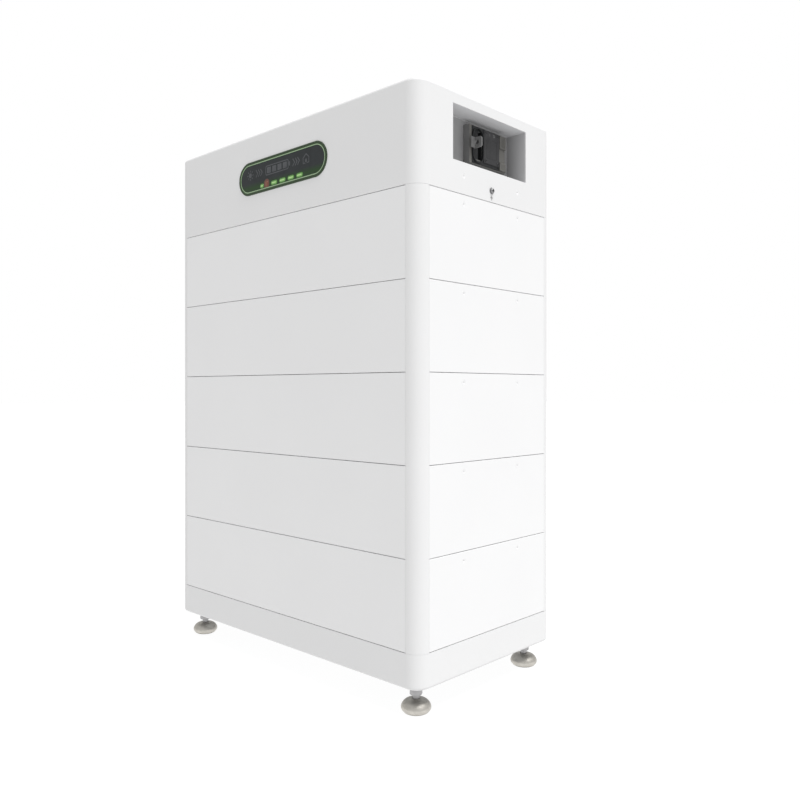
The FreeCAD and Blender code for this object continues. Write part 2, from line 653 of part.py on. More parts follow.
# ---------------------------------------------------------------- breaker
def breaker_screw_places():
    """Plan of the faceplate's four screws as (y, z)."""
    return [(y, z) for y in (FACEPLATE_Y[0] + 5, FACEPLATE_Y[1] - 5)
            for z in (FACEPLATE_Z[0] + 5, FACEPLATE_Z[1] - 5)]


def side_stadium(size, x):
    """Upright rounded slot or plug across X, round the lever's window. Size is (height, width)."""
    piece = stadium(0, 0, size, (0, x[1] - x[0]))
    piece.rotate(ORIGIN, Y_AXIS, 90)
    piece.rotate(ORIGIN, Z_AXIS, -90)
    piece.translate(Vector(x[0], PIVOT_Y, ESCUTCHEON_Z))
    return piece


def pie(radius, arc, z):
    """Upright slice of a disc round the lever's pivot, between two angles from +X."""
    piece = Part.makeCylinder(radius, z[1] - z[0], Vector(0, 0, z[0]), Z_AXIS, arc[1] - arc[0])
    piece.rotate(ORIGIN, Z_AXIS, arc[0])
    piece.translate(Vector(PIVOT_X, PIVOT_Y, 0))
    return piece


def breaker_body():
    """Moulded case of the two-pole breaker, with the lever's chamber."""
    rear = BREAKER_FACE - BREAKER_DEPTH
    body = block((rear, BREAKER_FACE), BREAKER_Y, BREAKER_Z)
    body = body.makeFillet(1.5, edges_at_x(body, BREAKER_FACE))
    half = SADDLE_HEIGHT / 2 + 0.5
    height = (LEVER_Z - half, LEVER_Z + half)
    half_width = ESCUTCHEON_OPENING[1] / 2
    window_y = (PIVOT_Y - half_width, PIVOT_Y + half_width)
    body = body.cut(post(CHAMBER_RADIUS, PIVOT_X, PIVOT_Y, height))
    body = body.cut(block((PIVOT_X, BREAKER_FACE + 1), window_y, height))
    bore = (height[0] - 4, height[1] + 4)
    body = body.cut(post(PIVOT_RADIUS + RUNNING_GAP, PIVOT_X, PIVOT_Y, bore))
    for y, z in breaker_screw_places():
        body = body.cut(bar_x(BREAKER_SCREW_RADIUS + 0.1, (BREAKER_FACE - 12, BREAKER_FACE + 1), y, z))
    for y in RAIL_CLIP_Y:
        for z in (BREAKER_Z[0] + 16, BREAKER_Z[1] - 16):
            body = body.fuse(block((rear - 14, rear), (y - 8, y + 8), (z - 2, z + 2)))
    return body


def breaker_fascia():
    """Black front of the case, with the raised oval rim round the lever."""
    plate = block((BREAKER_FACE, PLATE_BACK), FASCIA_Y, FASCIA_Z)
    plate = plate.makeChamfer(0.4, edges_at_x(plate, PLATE_BACK))
    for y, z in breaker_screw_places():
        plate = plate.cut(bar_x(BREAKER_SCREW_RADIUS + 0.1, (BREAKER_FACE - 1, PLATE_BACK + 1), y, z))
    rim = side_stadium(ESCUTCHEON, (BREAKER_FACE + 0.5, BREAKER_FACE + ESCUTCHEON_HEIGHT))
    rim = rim.makeFillet(0.7, edges_at_x(rim, BREAKER_FACE + ESCUTCHEON_HEIGHT))
    opening = side_stadium(ESCUTCHEON_OPENING, (BREAKER_FACE - 1, BREAKER_FACE + ESCUTCHEON_HEIGHT + 1))
    return plate.fuse(rim).cut(opening)


def breaker_lever():
    """Black rocker behind the oval rim: hub on a pivot, two spokes and a curved saddle."""
    half = SADDLE_HEIGHT / 2
    height = (LEVER_Z - half, LEVER_Z + half)
    inner_arc = (SADDLE_ARC[0] - 5, SADDLE_ARC[1] + 5)
    lever = pie(SADDLE_RADIUS, SADDLE_ARC, height).cut(pie(SADDLE_RADIUS - SADDLE_WALL, inner_arc, height))
    lever = lever.fuse(post(HUB_RADIUS, PIVOT_X, PIVOT_Y, height))
    lever = lever.fuse(post(PIVOT_RADIUS, PIVOT_X, PIVOT_Y, (height[0] - 4, height[1] + 4)))
    for angle in SPOKE_ANGLES:
        spoke = block((HUB_RADIUS - 1, SADDLE_RADIUS - 1), (-1.5, 1.5), height)
        spoke.rotate(ORIGIN, Z_AXIS, angle)
        spoke.translate(Vector(PIVOT_X, PIVOT_Y, 0))
        lever = lever.fuse(spoke)
    return lever.removeSplitter()


def lever_tab():
    """Grey padlock tab on the lever: an upright plate with a hole, and a leaf over the rim."""
    half = TAB_HEIGHT / 2
    height = (LEVER_Z - half, LEVER_Z + half)
    tip = PIVOT_X + TAB_REACH
    middle_y = PIVOT_Y + TAB_OFFSET
    sides = (middle_y - TAB_THICKNESS / 2, middle_y + TAB_THICKNESS / 2)
    tab = block((PIVOT_X, tip), sides, height)
    tip_edges = [edge for edge in edges_at_x(tab, tip) if edge.BoundBox.YLength > 1]
    tab = tab.makeChamfer(TAB_TIP_CHAMFER, tip_edges)
    tab = tab.cut(bar_y(TAB_HOLE_RADIUS, tip - TAB_HOLE_INSET, (sides[0] - 1, sides[1] + 1), LEVER_Z))
    tab = tab.cut(post(SADDLE_RADIUS, PIVOT_X, PIVOT_Y, (height[0] - 1, height[1] + 1)))
    leaf_low = BREAKER_FACE + ESCUTCHEON_HEIGHT + 0.4
    leaf = block((leaf_low, leaf_low + TAB_LEAF_THICKNESS), (sides[0] - TAB_LEAF, middle_y), height)
    return tab.fuse(leaf).removeSplitter()


def breaker_faceplate():
    """Raised plate on the fascia, beside the lever."""
    plate = block((PLATE_BACK, PLATE_FRONT), FACEPLATE_Y, FACEPLATE_Z)
    plate = plate.makeFillet(1.0, edges_at_x(plate, PLATE_FRONT))
    for y, z in breaker_screw_places():
        plate = plate.cut(bar_x(BREAKER_SCREW_RADIUS + 0.1, (PLATE_BACK - 1, PLATE_FRONT + 1), y, z))
    return plate


def breaker_screws():
    """Four pan-head screws of the faceplate."""
    return [bar_x(BREAKER_SCREW_RADIUS, (BREAKER_FACE - 10, PLATE_FRONT), y, z).fuse(
            bar_x(2.8, (PLATE_FRONT, PLATE_FRONT + 1.4), y, z)) for y, z in breaker_screw_places()]


def breaker_terminal_covers():
    """Two covers over the breaker's terminals, at its +Y end."""
    covers = []
    for z in COVER_ROWS_Z:
        cover = block((BREAKER_FACE, BREAKER_FACE + COVER_HEIGHT), COVER_Y, z)
        covers.append(cover.makeFillet(1.2, edges_at_x(cover, BREAKER_FACE + COVER_HEIGHT)))
    return covers


# ---------------------------------------------------------------- connector bay
def power_sockets():
    """Two round power sockets with plain bores."""
    sockets = []
    for y in SOCKET_Y:
        mouth = -TUB_BACK - SOCKET_DEPTH
        collar = bar_x(SOCKET_COLLAR, (mouth, -TUB_BACK), y, SOCKET_Z)
        mouth_edges = [edge for edge in collar.Edges if abs(edge.BoundBox.XMax - mouth) < 1e-6]
        collar = collar.makeChamfer(1.0, mouth_edges)
        barrel = bar_x(SOCKET_COLLAR - 2.2, (-TUB_BACK, -TUB_BACK + 26), y, SOCKET_Z)
        bore = bar_x(SOCKET_BORE, (mouth - 1, -TUB_BACK), y, SOCKET_Z)
        sockets.append(collar.fuse(barrel).cut(bore).removeSplitter())
    return sockets


def comm_ports():
    """One block of data ports, each with a straight-sided hole."""
    wall = -TUB_BACK
    front = wall - PORT_PROUD
    ports = block((front, wall + PORT_BEHIND), PORT_Y, PORT_Z)
    flange_y = (PORT_Y[0] - 4, PORT_Y[1] + 4)
    flange_z = (PORT_Z[0] - 3, PORT_Z[1] + 3)
    ports = ports.fuse(block((wall - 1.5, wall), flange_y, flange_z)).removeSplitter()
    pitch = (PORT_Y[1] - PORT_Y[0]) / PORT_COUNT
    half_y, half_z = PORT_HOLE[0] / 2, PORT_HOLE[1] / 2
    middle_z = sum(PORT_Z) / 2
    for k in range(PORT_COUNT):
        y = PORT_Y[0] + pitch * (k + 0.5)
        hole_y, hole_z = (y - half_y, y + half_y), (middle_z - half_z, middle_z + half_z)
        ports = ports.cut(block((front - 1, front + PORT_DEPTH), hole_y, hole_z))
    return ports


def button_housing():
    """Panel housing of the wake button, closed at its inner end."""
    wall = -TUB_BACK
    housing = bar_x(BUTTON_RADIUS + 4, (wall - 3, wall), BUTTON_Y, BUTTON_Z)
    housing = housing.fuse(bar_x(BUTTON_RADIUS + 2.3, (wall, wall + 22), BUTTON_Y, BUTTON_Z))
    return housing.cut(bar_x(BUTTON_RADIUS + RUNNING_GAP, (wall - 4, wall + 20), BUTTON_Y, BUTTON_Z))


def power_button():
    """Cap of the wake button; it travels 2 mm inwards."""
    wall = -TUB_BACK
    cap = bar_x(BUTTON_RADIUS, (wall - 6, wall + 16), BUTTON_Y, BUTTON_Z)
    edges = [edge for edge in cap.Edges if abs(edge.BoundBox.XMax - (wall - 6)) < 1e-6]
    return cap.makeFillet(1.2, edges)


# ---------------------------------------------------------------- inside the head
def control_board():
    """Main controller: board on four stand-offs with its larger parts."""
    low = HEAD_INSIDE + STANDOFF_HEIGHT
    high = low + BOARD_THICKNESS
    (x_low, x_high), (y_low, y_high) = CONTROL_BOARD
    board = block((x_low, x_high), (y_low, y_high), (low, high))
    for x in (x_low + 10, x_high - 10):
        for y in (y_low + 10, y_high - 10):
            board = board.fuse(post(4, x, y, (HEAD_INSIDE, low)))
    for x, y, width, depth, height in CONTROL_PARTS:
        board = board.fuse(centred_block((width, depth), x, y, (high, high + height)))
    return board.removeSplitter()


def contactors():
    """Two sealed main contactors on the head's floor."""
    can = (HEAD_INSIDE + 10, HEAD_INSIDE + CONTACTOR_HEIGHT)
    units = []
    for y in CONTACTOR_Y:
        unit = centred_block((64, 54), CONTACTOR_X, y, (HEAD_INSIDE, can[0]))
        unit = unit.fuse(post(CONTACTOR_RADIUS, CONTACTOR_X, y, can))
        for x in (CONTACTOR_X - 12, CONTACTOR_X + 12):
            unit = unit.fuse(post(5, x, y, (can[1], can[1] + 12)))
        units.append(unit.removeSplitter())
    return units


def main_fuse():
    """Bolted DC fuse in its holder."""
    (x_low, x_high), (y_low, y_high) = FUSE_HOLDER
    holder_top = HEAD_INSIDE + 12
    fuse = block((x_low, x_high), (y_low, y_high), (HEAD_INSIDE, holder_top))
    for x in ((x_low + 4, x_low + 24), (x_high - 24, x_high - 4)):
        fuse = fuse.fuse(block(x, (y_low + 10, y_high - 10), (holder_top, holder_top + 18)))
    barrel = bar_x(FUSE_RADIUS, (x_low + 24, x_high - 24), (y_low + y_high) / 2, holder_top + 16)
    return fuse.fuse(barrel).removeSplitter()


# ---------------------------------------------------------------- outside fasteners
def earth_screw():
    """Earth terminal on the +X side: washer and pan-head screw."""
    face = WIDTH / 2
    washer = bar_x(6.0, (face, face + 1.0), EARTH_Y, EARTH_Z).cut(
        bar_x(EARTH_SHANK + 0.1, (face - 1, face + 2), EARTH_Y, EARTH_Z))
    head = bar_x(4.75, (face + 1.0, face + 4.0), EARTH_Y, EARTH_Z)
    rim = [edge for edge in head.Edges if abs(edge.BoundBox.XMin - face - 4.0) < 1e-6]
    screw = head.makeFillet(1.2, rim).fuse(bar_x(EARTH_SHANK, (face - 15, face + 1.0), EARTH_Y, EARTH_Z))
    return [washer, screw.removeSplitter()]


def tie_inserts():
    """Two threaded inserts in the rear of the head, for wall ties."""
    rear = DEPTH / 2
    inserts = []
    for side in (-1, 1):
        flange = bar_y(TIE_FLANGE, side * TIE_X, (rear, rear + 1.0), TIE_Z)
        body = bar_y(TIE_BODY, side * TIE_X, (rear + 1.0 - TIE_LENGTH, rear + 0.5), TIE_Z)
        bore = bar_y(TIE_BORE, side * TIE_X, (rear - TIE_LENGTH, rear + 2), TIE_Z)
        inserts.append(flange.fuse(body).cut(bore).removeSplitter())
    return inserts


# ---------------------------------------------------------------- all nodes
def build_nodes():
    """Every node's name and its solid, or its list of equal solids."""
    nodes = {"base_skirt": base_skirt(), "base_frame": base_frame(), "foot_lock_nuts": lock_nuts()}
    for name, x, y in foot_places():
        nodes["foot_pad_" + name] = foot_pad(x, y)
        nodes["foot_stem_" + name] = foot_stem(x, y)
        nodes["corner_post_" + name] = corner_post(1 if x > 0 else -1, 1 if y > 0 else -1)
    for number, floor in enumerate(MODULE_FLOORS, 1):
        nodes["module_%d_case" % number] = module_case(floor)
        nodes["module_%d_lid" % number] = module_lid(floor)
        nodes["module_%d_cells" % number] = module_cells(floor)
    nodes["cell_busbars"] = [bar for floor in MODULE_FLOORS for bar in module_busbars(floor)]
    nodes["bms_boards"] = [bms_board(floor) for floor in MODULE_FLOORS]
    storeys = MODULE_FLOORS + [HEAD_FLOOR]
    nodes["stacking_pads"] = [pad for joint in storeys for pad in stacking_pads(joint)]
    nodes["link_connectors"] = ([link_plug(floor) for floor in MODULE_FLOORS]
                                + [link_socket(floor) for floor in storeys])
    nodes["side_screws"] = side_screws()
    nodes["head_shell"] = head_shell()
    nodes["head_base_plate"] = head_base_plate()
    nodes["display_bezel"] = display_bezel()
    nodes["light_ring"] = light_ring()
    nodes["display_window"] = display_window()
    nodes["green_leds"] = led_lens("run", LENS_DEPTH) + led_lens("charge", LENS_DEPTH)
    nodes["red_led"] = led_lens("alarm", LENS_DEPTH)
    nodes["breaker_tub"] = breaker_tub()
    nodes["breaker_body"] = breaker_body()
    nodes["breaker_fascia"] = breaker_fascia()
    nodes["breaker_lever"] = breaker_lever()
    nodes["lever_tab"] = lever_tab()
    nodes["breaker_faceplate"] = breaker_faceplate()
    nodes["breaker_screws"] = breaker_screws()
    nodes["breaker_terminal_covers"] = breaker_terminal_covers()
    nodes["connector_tub"] = connector_tub()
    nodes["power_sockets"] = power_sockets()
    nodes["comm_ports"] = comm_ports()
    nodes["button_housing"] = button_housing()
    nodes["power_button"] = power_button()
    nodes["head_boards"] = [display_board(), control_board()]
    nodes["contactors"] = contactors()
    nodes["main_fuse"] = main_fuse()
    nodes["earth_screw"] = earth_screw()
    nodes["tie_inserts"] = tie_inserts()
    return nodes


def write(name, shape):
    """One STEP file per node, after a check that every solid is sound."""
    solids = shape if isinstance(shape, list) else [shape]
    pieces = [solid for item in solids for solid in item.Solids]
    for solid in pieces:
        if not solid.isValid() or solid.Volume <= 0:
            raise ValueError("unsound solid in " + name)
    whole = pieces[0] if len(pieces) == 1 else Part.makeCompound(pieces)
    whole.exportStep("parts/%s.step" % name)
    box = whole.BoundBox
    print("%-26s %3d solids  x %.1f..%.1f  y %.1f..%.1f  z %.1f..%.1f" % (
        name, len(pieces), box.XMin, box.XMax, box.YMin, box.YMax, box.ZMin, box.ZMax))


os.makedirs("parts", exist_ok=True)
for node, shape in build_nodes().items():
    write(node, shape)
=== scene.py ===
"""Looks of the stacked battery unit: materials, small detail pieces, studio and camera."""

import json
from math import atan2, ceil, cos, pi, radians, sin, tan

import bmesh
import bpy
from mathutils import Matrix, Vector


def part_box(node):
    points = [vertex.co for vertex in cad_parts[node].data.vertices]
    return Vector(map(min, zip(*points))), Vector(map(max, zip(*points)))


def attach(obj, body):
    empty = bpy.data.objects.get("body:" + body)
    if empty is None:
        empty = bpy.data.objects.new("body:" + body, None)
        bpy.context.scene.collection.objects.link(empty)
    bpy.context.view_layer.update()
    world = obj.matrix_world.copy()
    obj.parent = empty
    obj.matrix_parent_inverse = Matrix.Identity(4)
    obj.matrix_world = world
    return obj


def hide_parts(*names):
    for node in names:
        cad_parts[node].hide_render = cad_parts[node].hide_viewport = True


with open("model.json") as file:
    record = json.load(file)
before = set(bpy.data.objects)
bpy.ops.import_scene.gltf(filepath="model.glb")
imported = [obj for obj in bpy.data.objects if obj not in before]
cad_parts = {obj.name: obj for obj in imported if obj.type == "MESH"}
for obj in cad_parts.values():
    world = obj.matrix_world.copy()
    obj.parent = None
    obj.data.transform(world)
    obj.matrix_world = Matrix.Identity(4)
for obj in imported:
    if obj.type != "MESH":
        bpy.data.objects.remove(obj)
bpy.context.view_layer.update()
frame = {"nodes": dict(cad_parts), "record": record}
scene = bpy.context.scene
MM = 0.001                   # the pieces below are given in millimetres
SUNK = 0.1                   # how far raised marks start below the surface they stand on

FRONT, REAR = (0, -1, 0), (0, 1, 0)
RIGHT_SIDE, LEFT_SIDE = (1, 0, 0), (-1, 0, 0)
UPWARDS = (0, 0, 1)


# ---------------------------------------------------------------- camera
# The viewpoint is level with the middle of the stack, off its front right corner.
CAMERA_BESIDE = 0.8277       # from the right-hand face, along +X
CAMERA_BEFORE = 0.9143       # from the front face, along -Y
CAMERA_DROP = 0.4964         # below the top
CAMERA_YAW = 133.46          # degrees from +X towards +Y
CAMERA_LENS = 35.44          # millimetres on a 36 mm sensor
CAMERA_SHIFT = -0.0122       # share of the picture's width


def add_camera():
    """Level camera at the photograph's angle."""
    data = bpy.data.cameras.new("camera")
    data.lens = CAMERA_LENS
    data.sensor_width = 36.0
    data.shift_y = CAMERA_SHIFT
    data.clip_start = 0.01
    camera = bpy.data.objects.new("camera", data)
    head_low, head_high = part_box("head_shell")
    camera.location = (head_high.x + CAMERA_BESIDE, head_low.y - CAMERA_BEFORE,
                       head_high.z - CAMERA_DROP)
    camera.rotation_euler = (radians(90), 0, radians(CAMERA_YAW - 90))
    scene.collection.objects.link(camera)
    scene.camera = camera


# ---------------------------------------------------------------- studio
FLOOR_REACH = 30.0           # metres from the middle to each edge
SUN_GLOSS = 0.12             # share of the overhead light that shows in reflections


def add_world(seen, lighting):
    """White surroundings: one level for the plain background, one for the light they give."""
    world = bpy.data.worlds.new("studio")
    world.use_nodes = True
    tree = world.node_tree
    tree.nodes.clear()
    output = tree.nodes.new("ShaderNodeOutputWorld")
    mix = tree.nodes.new("ShaderNodeMixShader")
    path = tree.nodes.new("ShaderNodeLightPath")
    for socket, strength in ((1, lighting), (2, seen)):
        background = tree.nodes.new("ShaderNodeBackground")
        background.inputs["Color"].default_value = (1, 1, 1, 1)
        background.inputs["Strength"].default_value = strength
        tree.links.new(background.outputs[0], mix.inputs[socket])
    tree.links.new(path.outputs["Is Camera Ray"], mix.inputs[0])
    tree.links.new(mix.outputs[0], output.inputs[0])
    scene.world = world


def add_overhead_light(elevation, spread, strength):
    """Large soft light high over the right-hand side."""
    data = bpy.data.lights.new("overhead", "SUN")
    data.angle = radians(spread)
    data.energy = strength
    data.specular_factor = SUN_GLOSS
    lamp = bpy.data.objects.new("overhead", data)
    towards = Vector((-cos(radians(elevation)), 0, -sin(radians(elevation))))
    lamp.rotation_euler = towards.to_track_quat("-Z", "Y").to_euler()
    scene.collection.objects.link(lamp)


def add_floor(glow):
    """Plain pale floor, lit through from below like a light table."""
    mesh = bpy.data.meshes.new("floor")
    corners = [(x * FLOOR_REACH, y * FLOOR_REACH, 0) for x, y in ((-1, -1), (1, -1), (1, 1), (-1, 1))]
    mesh.from_pydata(corners, [], [(0, 1, 2, 3)])
    floor = bpy.data.objects.new("floor", mesh)
    scene.collection.objects.link(floor)
    material = bpy.data.materials.new("floor")
    material.use_nodes = True
    shader = material.node_tree.nodes["Principled BSDF"]
    shader.inputs["Base Color"].default_value = (0.1, 0.1, 0.1, 1)
    shader.inputs["Roughness"].default_value = 0.9
    shader.inputs["Specular IOR Level"].default_value = 0.0
    shader.inputs["Emission Color"].default_value = (1, 1, 1, 1)
    shader.inputs["Emission Strength"].default_value = glow
    mesh.materials.append(material)


# ---------------------------------------------------------------- materials
WARM_GREY = (0.165, 0.162, 0.152)


class Surface:
    """Node material on one Principled shader, built up from a few kinds of procedural detail."""

    def __init__(self, name, color, roughness, metallic=0.0):
        self.material = bpy.data.materials.new(name)
        self.material.use_nodes = True
        self.tree = self.material.node_tree
        self.shader = self.tree.nodes["Principled BSDF"]
        self.color = color
        self.set("Base Color", (*color, 1))
        self.set("Roughness", roughness)
        self.set("Metallic", metallic)
        self.coordinate = self.tree.nodes.new("ShaderNodeTexCoord").outputs["Object"]
        self.normal = None

    def set(self, socket, value):
        self.shader.inputs[socket].default_value = value
        return self

    def noise(self, scale, detail=3.0, stretch=None, roughness=0.5):
        """Noise over the object's own space, in features per metre; stretch squeezes its axes."""
        node = self.tree.nodes.new("ShaderNodeTexNoise")
        node.inputs["Scale"].default_value = scale
        node.inputs["Detail"].default_value = detail
        node.inputs["Roughness"].default_value = roughness
        source = self.coordinate
        if stretch:
            mapping = self.tree.nodes.new("ShaderNodeMapping")
            mapping.inputs["Scale"].default_value = stretch
            self.tree.links.new(source, mapping.inputs["Vector"])
            source = mapping.outputs["Vector"]
        self.tree.links.new(source, node.inputs["Vector"])
        return node.outputs["Fac"]

    def cells(self, scale):
        """Flat random value in each cell of a broken-up pattern."""
        node = self.tree.nodes.new("ShaderNodeTexVoronoi")
        node.inputs["Scale"].default_value = scale
        self.tree.links.new(self.coordinate, node.inputs["Vector"])
        split = self.tree.nodes.new("ShaderNodeSeparateColor")
        self.tree.links.new(node.outputs["Color"], split.inputs["Color"])
        return split.outputs["Red"]

    def rings(self, pitch):
        """Fine rings round the object's own Z axis, as a lathe leaves; pitch in metres."""
        node = self.tree.nodes.new("ShaderNodeTexWave")
        node.wave_type = "RINGS"
        node.rings_direction = "Z"
        node.inputs["Scale"].default_value = 1 / pitch / 20
        node.inputs["Distortion"].default_value = 0.6
        self.tree.links.new(self.coordinate, node.inputs["Vector"])
        return node.outputs["Fac"]

    def distance(self, axis, level=0.0):
        """Distance along an axis from a level, in metres."""
        split = self.tree.nodes.new("ShaderNodeSeparateXYZ")
        self.tree.links.new(self.coordinate, split.inputs[0])
        node = self.tree.nodes.new("ShaderNodeMath")
        node.operation = "SUBTRACT"
        node.inputs[1].default_value = level
        self.tree.links.new(split.outputs[axis], node.inputs[0])
        size = self.tree.nodes.new("ShaderNodeMath")
        size.operation = "ABSOLUTE"
        self.tree.links.new(node.outputs[0], size.inputs[0])
        return size.outputs[0]

    def along(self, axis, low, high, most=1.0):
        """Rises from 0 to most as the distance from the origin goes from low to high."""
        return self.spread(self.distance(axis), 0.0, most, low, high)

    def near(self, axis, level, reach, most):
        """Falls from most at a level to 0 at a distance of reach from it."""
        return self.spread(self.distance(axis, level), most, 0.0, 0.0, reach)

    def spread(self, value, low, high, value_low=0.3, value_high=0.7):
        """The part of the value between value_low and value_high, stretched to low..high."""
        node = self.tree.nodes.new("ShaderNodeMapRange")
        node.inputs["From Min"].default_value = value_low
        node.inputs["From Max"].default_value = value_high
        node.inputs["To Min"].default_value = low
        node.inputs["To Max"].default_value = high
        self.tree.links.new(value, node.inputs["Value"])
        return node.outputs["Result"]

    def blend(self, factor, other):
        """Base colour goes from what it is now to another colour as the factor rises."""
        mix = self.tree.nodes.new("ShaderNodeMix")
        mix.data_type = "RGBA"
        base = self.shader.inputs["Base Color"]
        if base.is_linked:
            self.tree.links.new(base.links[0].from_socket, mix.inputs["A"])
        else:
            mix.inputs["A"].default_value = base.default_value
        mix.inputs["B"].default_value = (*other, 1)
        self.tree.links.new(factor, mix.inputs["Factor"])
        self.tree.links.new(mix.outputs["Result"], base)
        return self

    def tint(self, value, factor):
        """Base colour is mottled with a lighter or darker shade of itself."""
        return self.blend(self.spread(value, 0.0, 1.0), shade(self.color, factor))

    def gloss(self, value, low, high):
        """Roughness varies between two levels."""
        self.tree.links.new(self.spread(value, low, high), self.shader.inputs["Roughness"])
        return self

    def relief(self, value, height, strength=1.0):
        """Bump of a height in metres; calls stack up."""
        bump = self.tree.nodes.new("ShaderNodeBump")
        bump.inputs["Strength"].default_value = strength
        bump.inputs["Distance"].default_value = height
        self.tree.links.new(value, bump.inputs["Height"])
        if self.normal:
            self.tree.links.new(self.normal, bump.inputs["Normal"])
        self.normal = bump.outputs["Normal"]
        self.tree.links.new(self.normal, self.shader.inputs["Normal"])
        return self


def shade(color, factor):
    """The colour made lighter or darker."""
    return tuple(min(1.0, channel * factor) for channel in color)


def powder_coat(name, color):
    """Satin powder coat: fine orange peel, faint mottling and uneven gloss."""
    surface = Surface(name, color, 0.5)
    surface.set("Specular IOR Level", 0.35)
    surface.tint(surface.noise(6.0, 4.0), 0.985)
    surface.gloss(surface.noise(35.0, 3.0), 0.46, 0.56)
    surface.relief(surface.noise(900.0, 2.0), 0.00003, 0.5)
    surface.relief(surface.noise(220.0, 2.0), 0.00004, 0.35)
    return surface


def moulded_plastic(name, color, roughness=0.5, grain=1800.0, specular=0.5):
    """Moulded plastic with a fine spark-eroded grain."""
    surface = Surface(name, color, roughness)
    surface.set("Specular IOR Level", specular)
    surface.tint(surface.noise(60.0, 4.0), 0.86)
    surface.gloss(surface.noise(120.0, 3.0), roughness - 0.07, roughness + 0.07)
    surface.relief(surface.noise(grain, 2.0), 0.00004, 0.6)
    return surface


def plated_metal(name, color, roughness, stretch=(1, 1, 1), scale=500.0):
    """Plated or bare metal with fine drawing marks."""
    surface = Surface(name, color, roughness, metallic=1.0)
    surface.tint(surface.noise(90.0, 4.0), 0.88)
    surface.gloss(surface.noise(scale, 3.0, stretch), roughness - 0.08, roughness + 0.1)
    surface.relief(surface.noise(scale, 3.0, stretch), 0.00002, 0.5)
    return surface


def turned_metal(name, color, roughness):
    """Plated metal with the rings that turning leaves, round the object's own Z axis."""
    surface = Surface(name, color, roughness, metallic=1.0)
    surface.tint(surface.noise(140.0, 4.0), 0.85)
    surface.gloss(surface.noise(260.0, 3.0), roughness - 0.06, roughness + 0.10)
    surface.relief(surface.rings(0.0006), 0.000012, 0.5)
    surface.relief(surface.noise(900.0, 2.0), 0.00001, 0.4)
    return surface


def galvanised(name, color):
    """Zinc-coated sheet with its spangle."""
    surface = Surface(name, color, 0.42, metallic=1.0)
    surface.tint(surface.cells(110.0), 0.80)
    surface.gloss(surface.cells(110.0), 0.34, 0.52)
    surface.relief(surface.noise(600.0, 3.0), 0.00002, 0.4)
    return surface


def lit_plastic(name, color, glow):
    """Translucent lens lit from behind; the glow is a little uneven."""
    surface = Surface(name, color, 0.3)
    surface.set("Emission Color", (*color, 1))
    surface.set("Emission Strength", glow)
    surface.set("Coat Weight", 0.4)
    surface.tint(surface.noise(300.0, 2.0), 0.85)
    surface.relief(surface.noise(700.0, 2.0), 0.00003, 0.3)
    return surface


def recess_paint():
    """Satin grey of the side recesses, with painted shade that darkens it towards the back wall and
    painted light that makes the ceiling lighter.
    """
    surface = powder_coat("recess_grey", (0.34, 0.34, 0.343))
    low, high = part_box("breaker_tub")
    # painted shade: the grey lightens from the back wall out to the opening, so the depth of the recess
    # reads darker
    surface.blend(surface.along("X", low.x + 4 * MM, high.x), (0.55, 0.55, 0.56))
    # painted light: the top of each recess is lighter, standing for light thrown up from the floor
    painted_ceiling_light = surface.along("Z", high.z - 2.2 * MM, high.z - 1.7 * MM, 0.5)
    return surface.blend(painted_ceiling_light, (0.85, 0.85, 0.86))


def window_plastic():
    """Dark display cover, with a painted green glow near the row of LEDs, standing for the light they
    throw on it.
    """
    surface = moulded_plastic("window_black", (0.036, 0.040, 0.042), 0.4, 2500.0, specular=0.15)
    low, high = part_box("green_leds")
    # painted light: green glow of the LEDs blended into the cover's colour, strongest level with them
    painted_led_glow = surface.near("Z", (low.z + high.z) / 2, 11 * MM, 0.8)
    return surface.blend(painted_led_glow, (0.028, 0.070, 0.020))


def breaker_case_plastic():
    """Light grey moulded case with a darker front."""
    surface = moulded_plastic("breaker_case", (0.22, 0.22, 0.218), 0.55, specular=0.2)
    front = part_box("breaker_body")[1].x
    return surface.blend(surface.along("X", front - 1.5 * MM, front - 0.2 * MM), WARM_GREY)


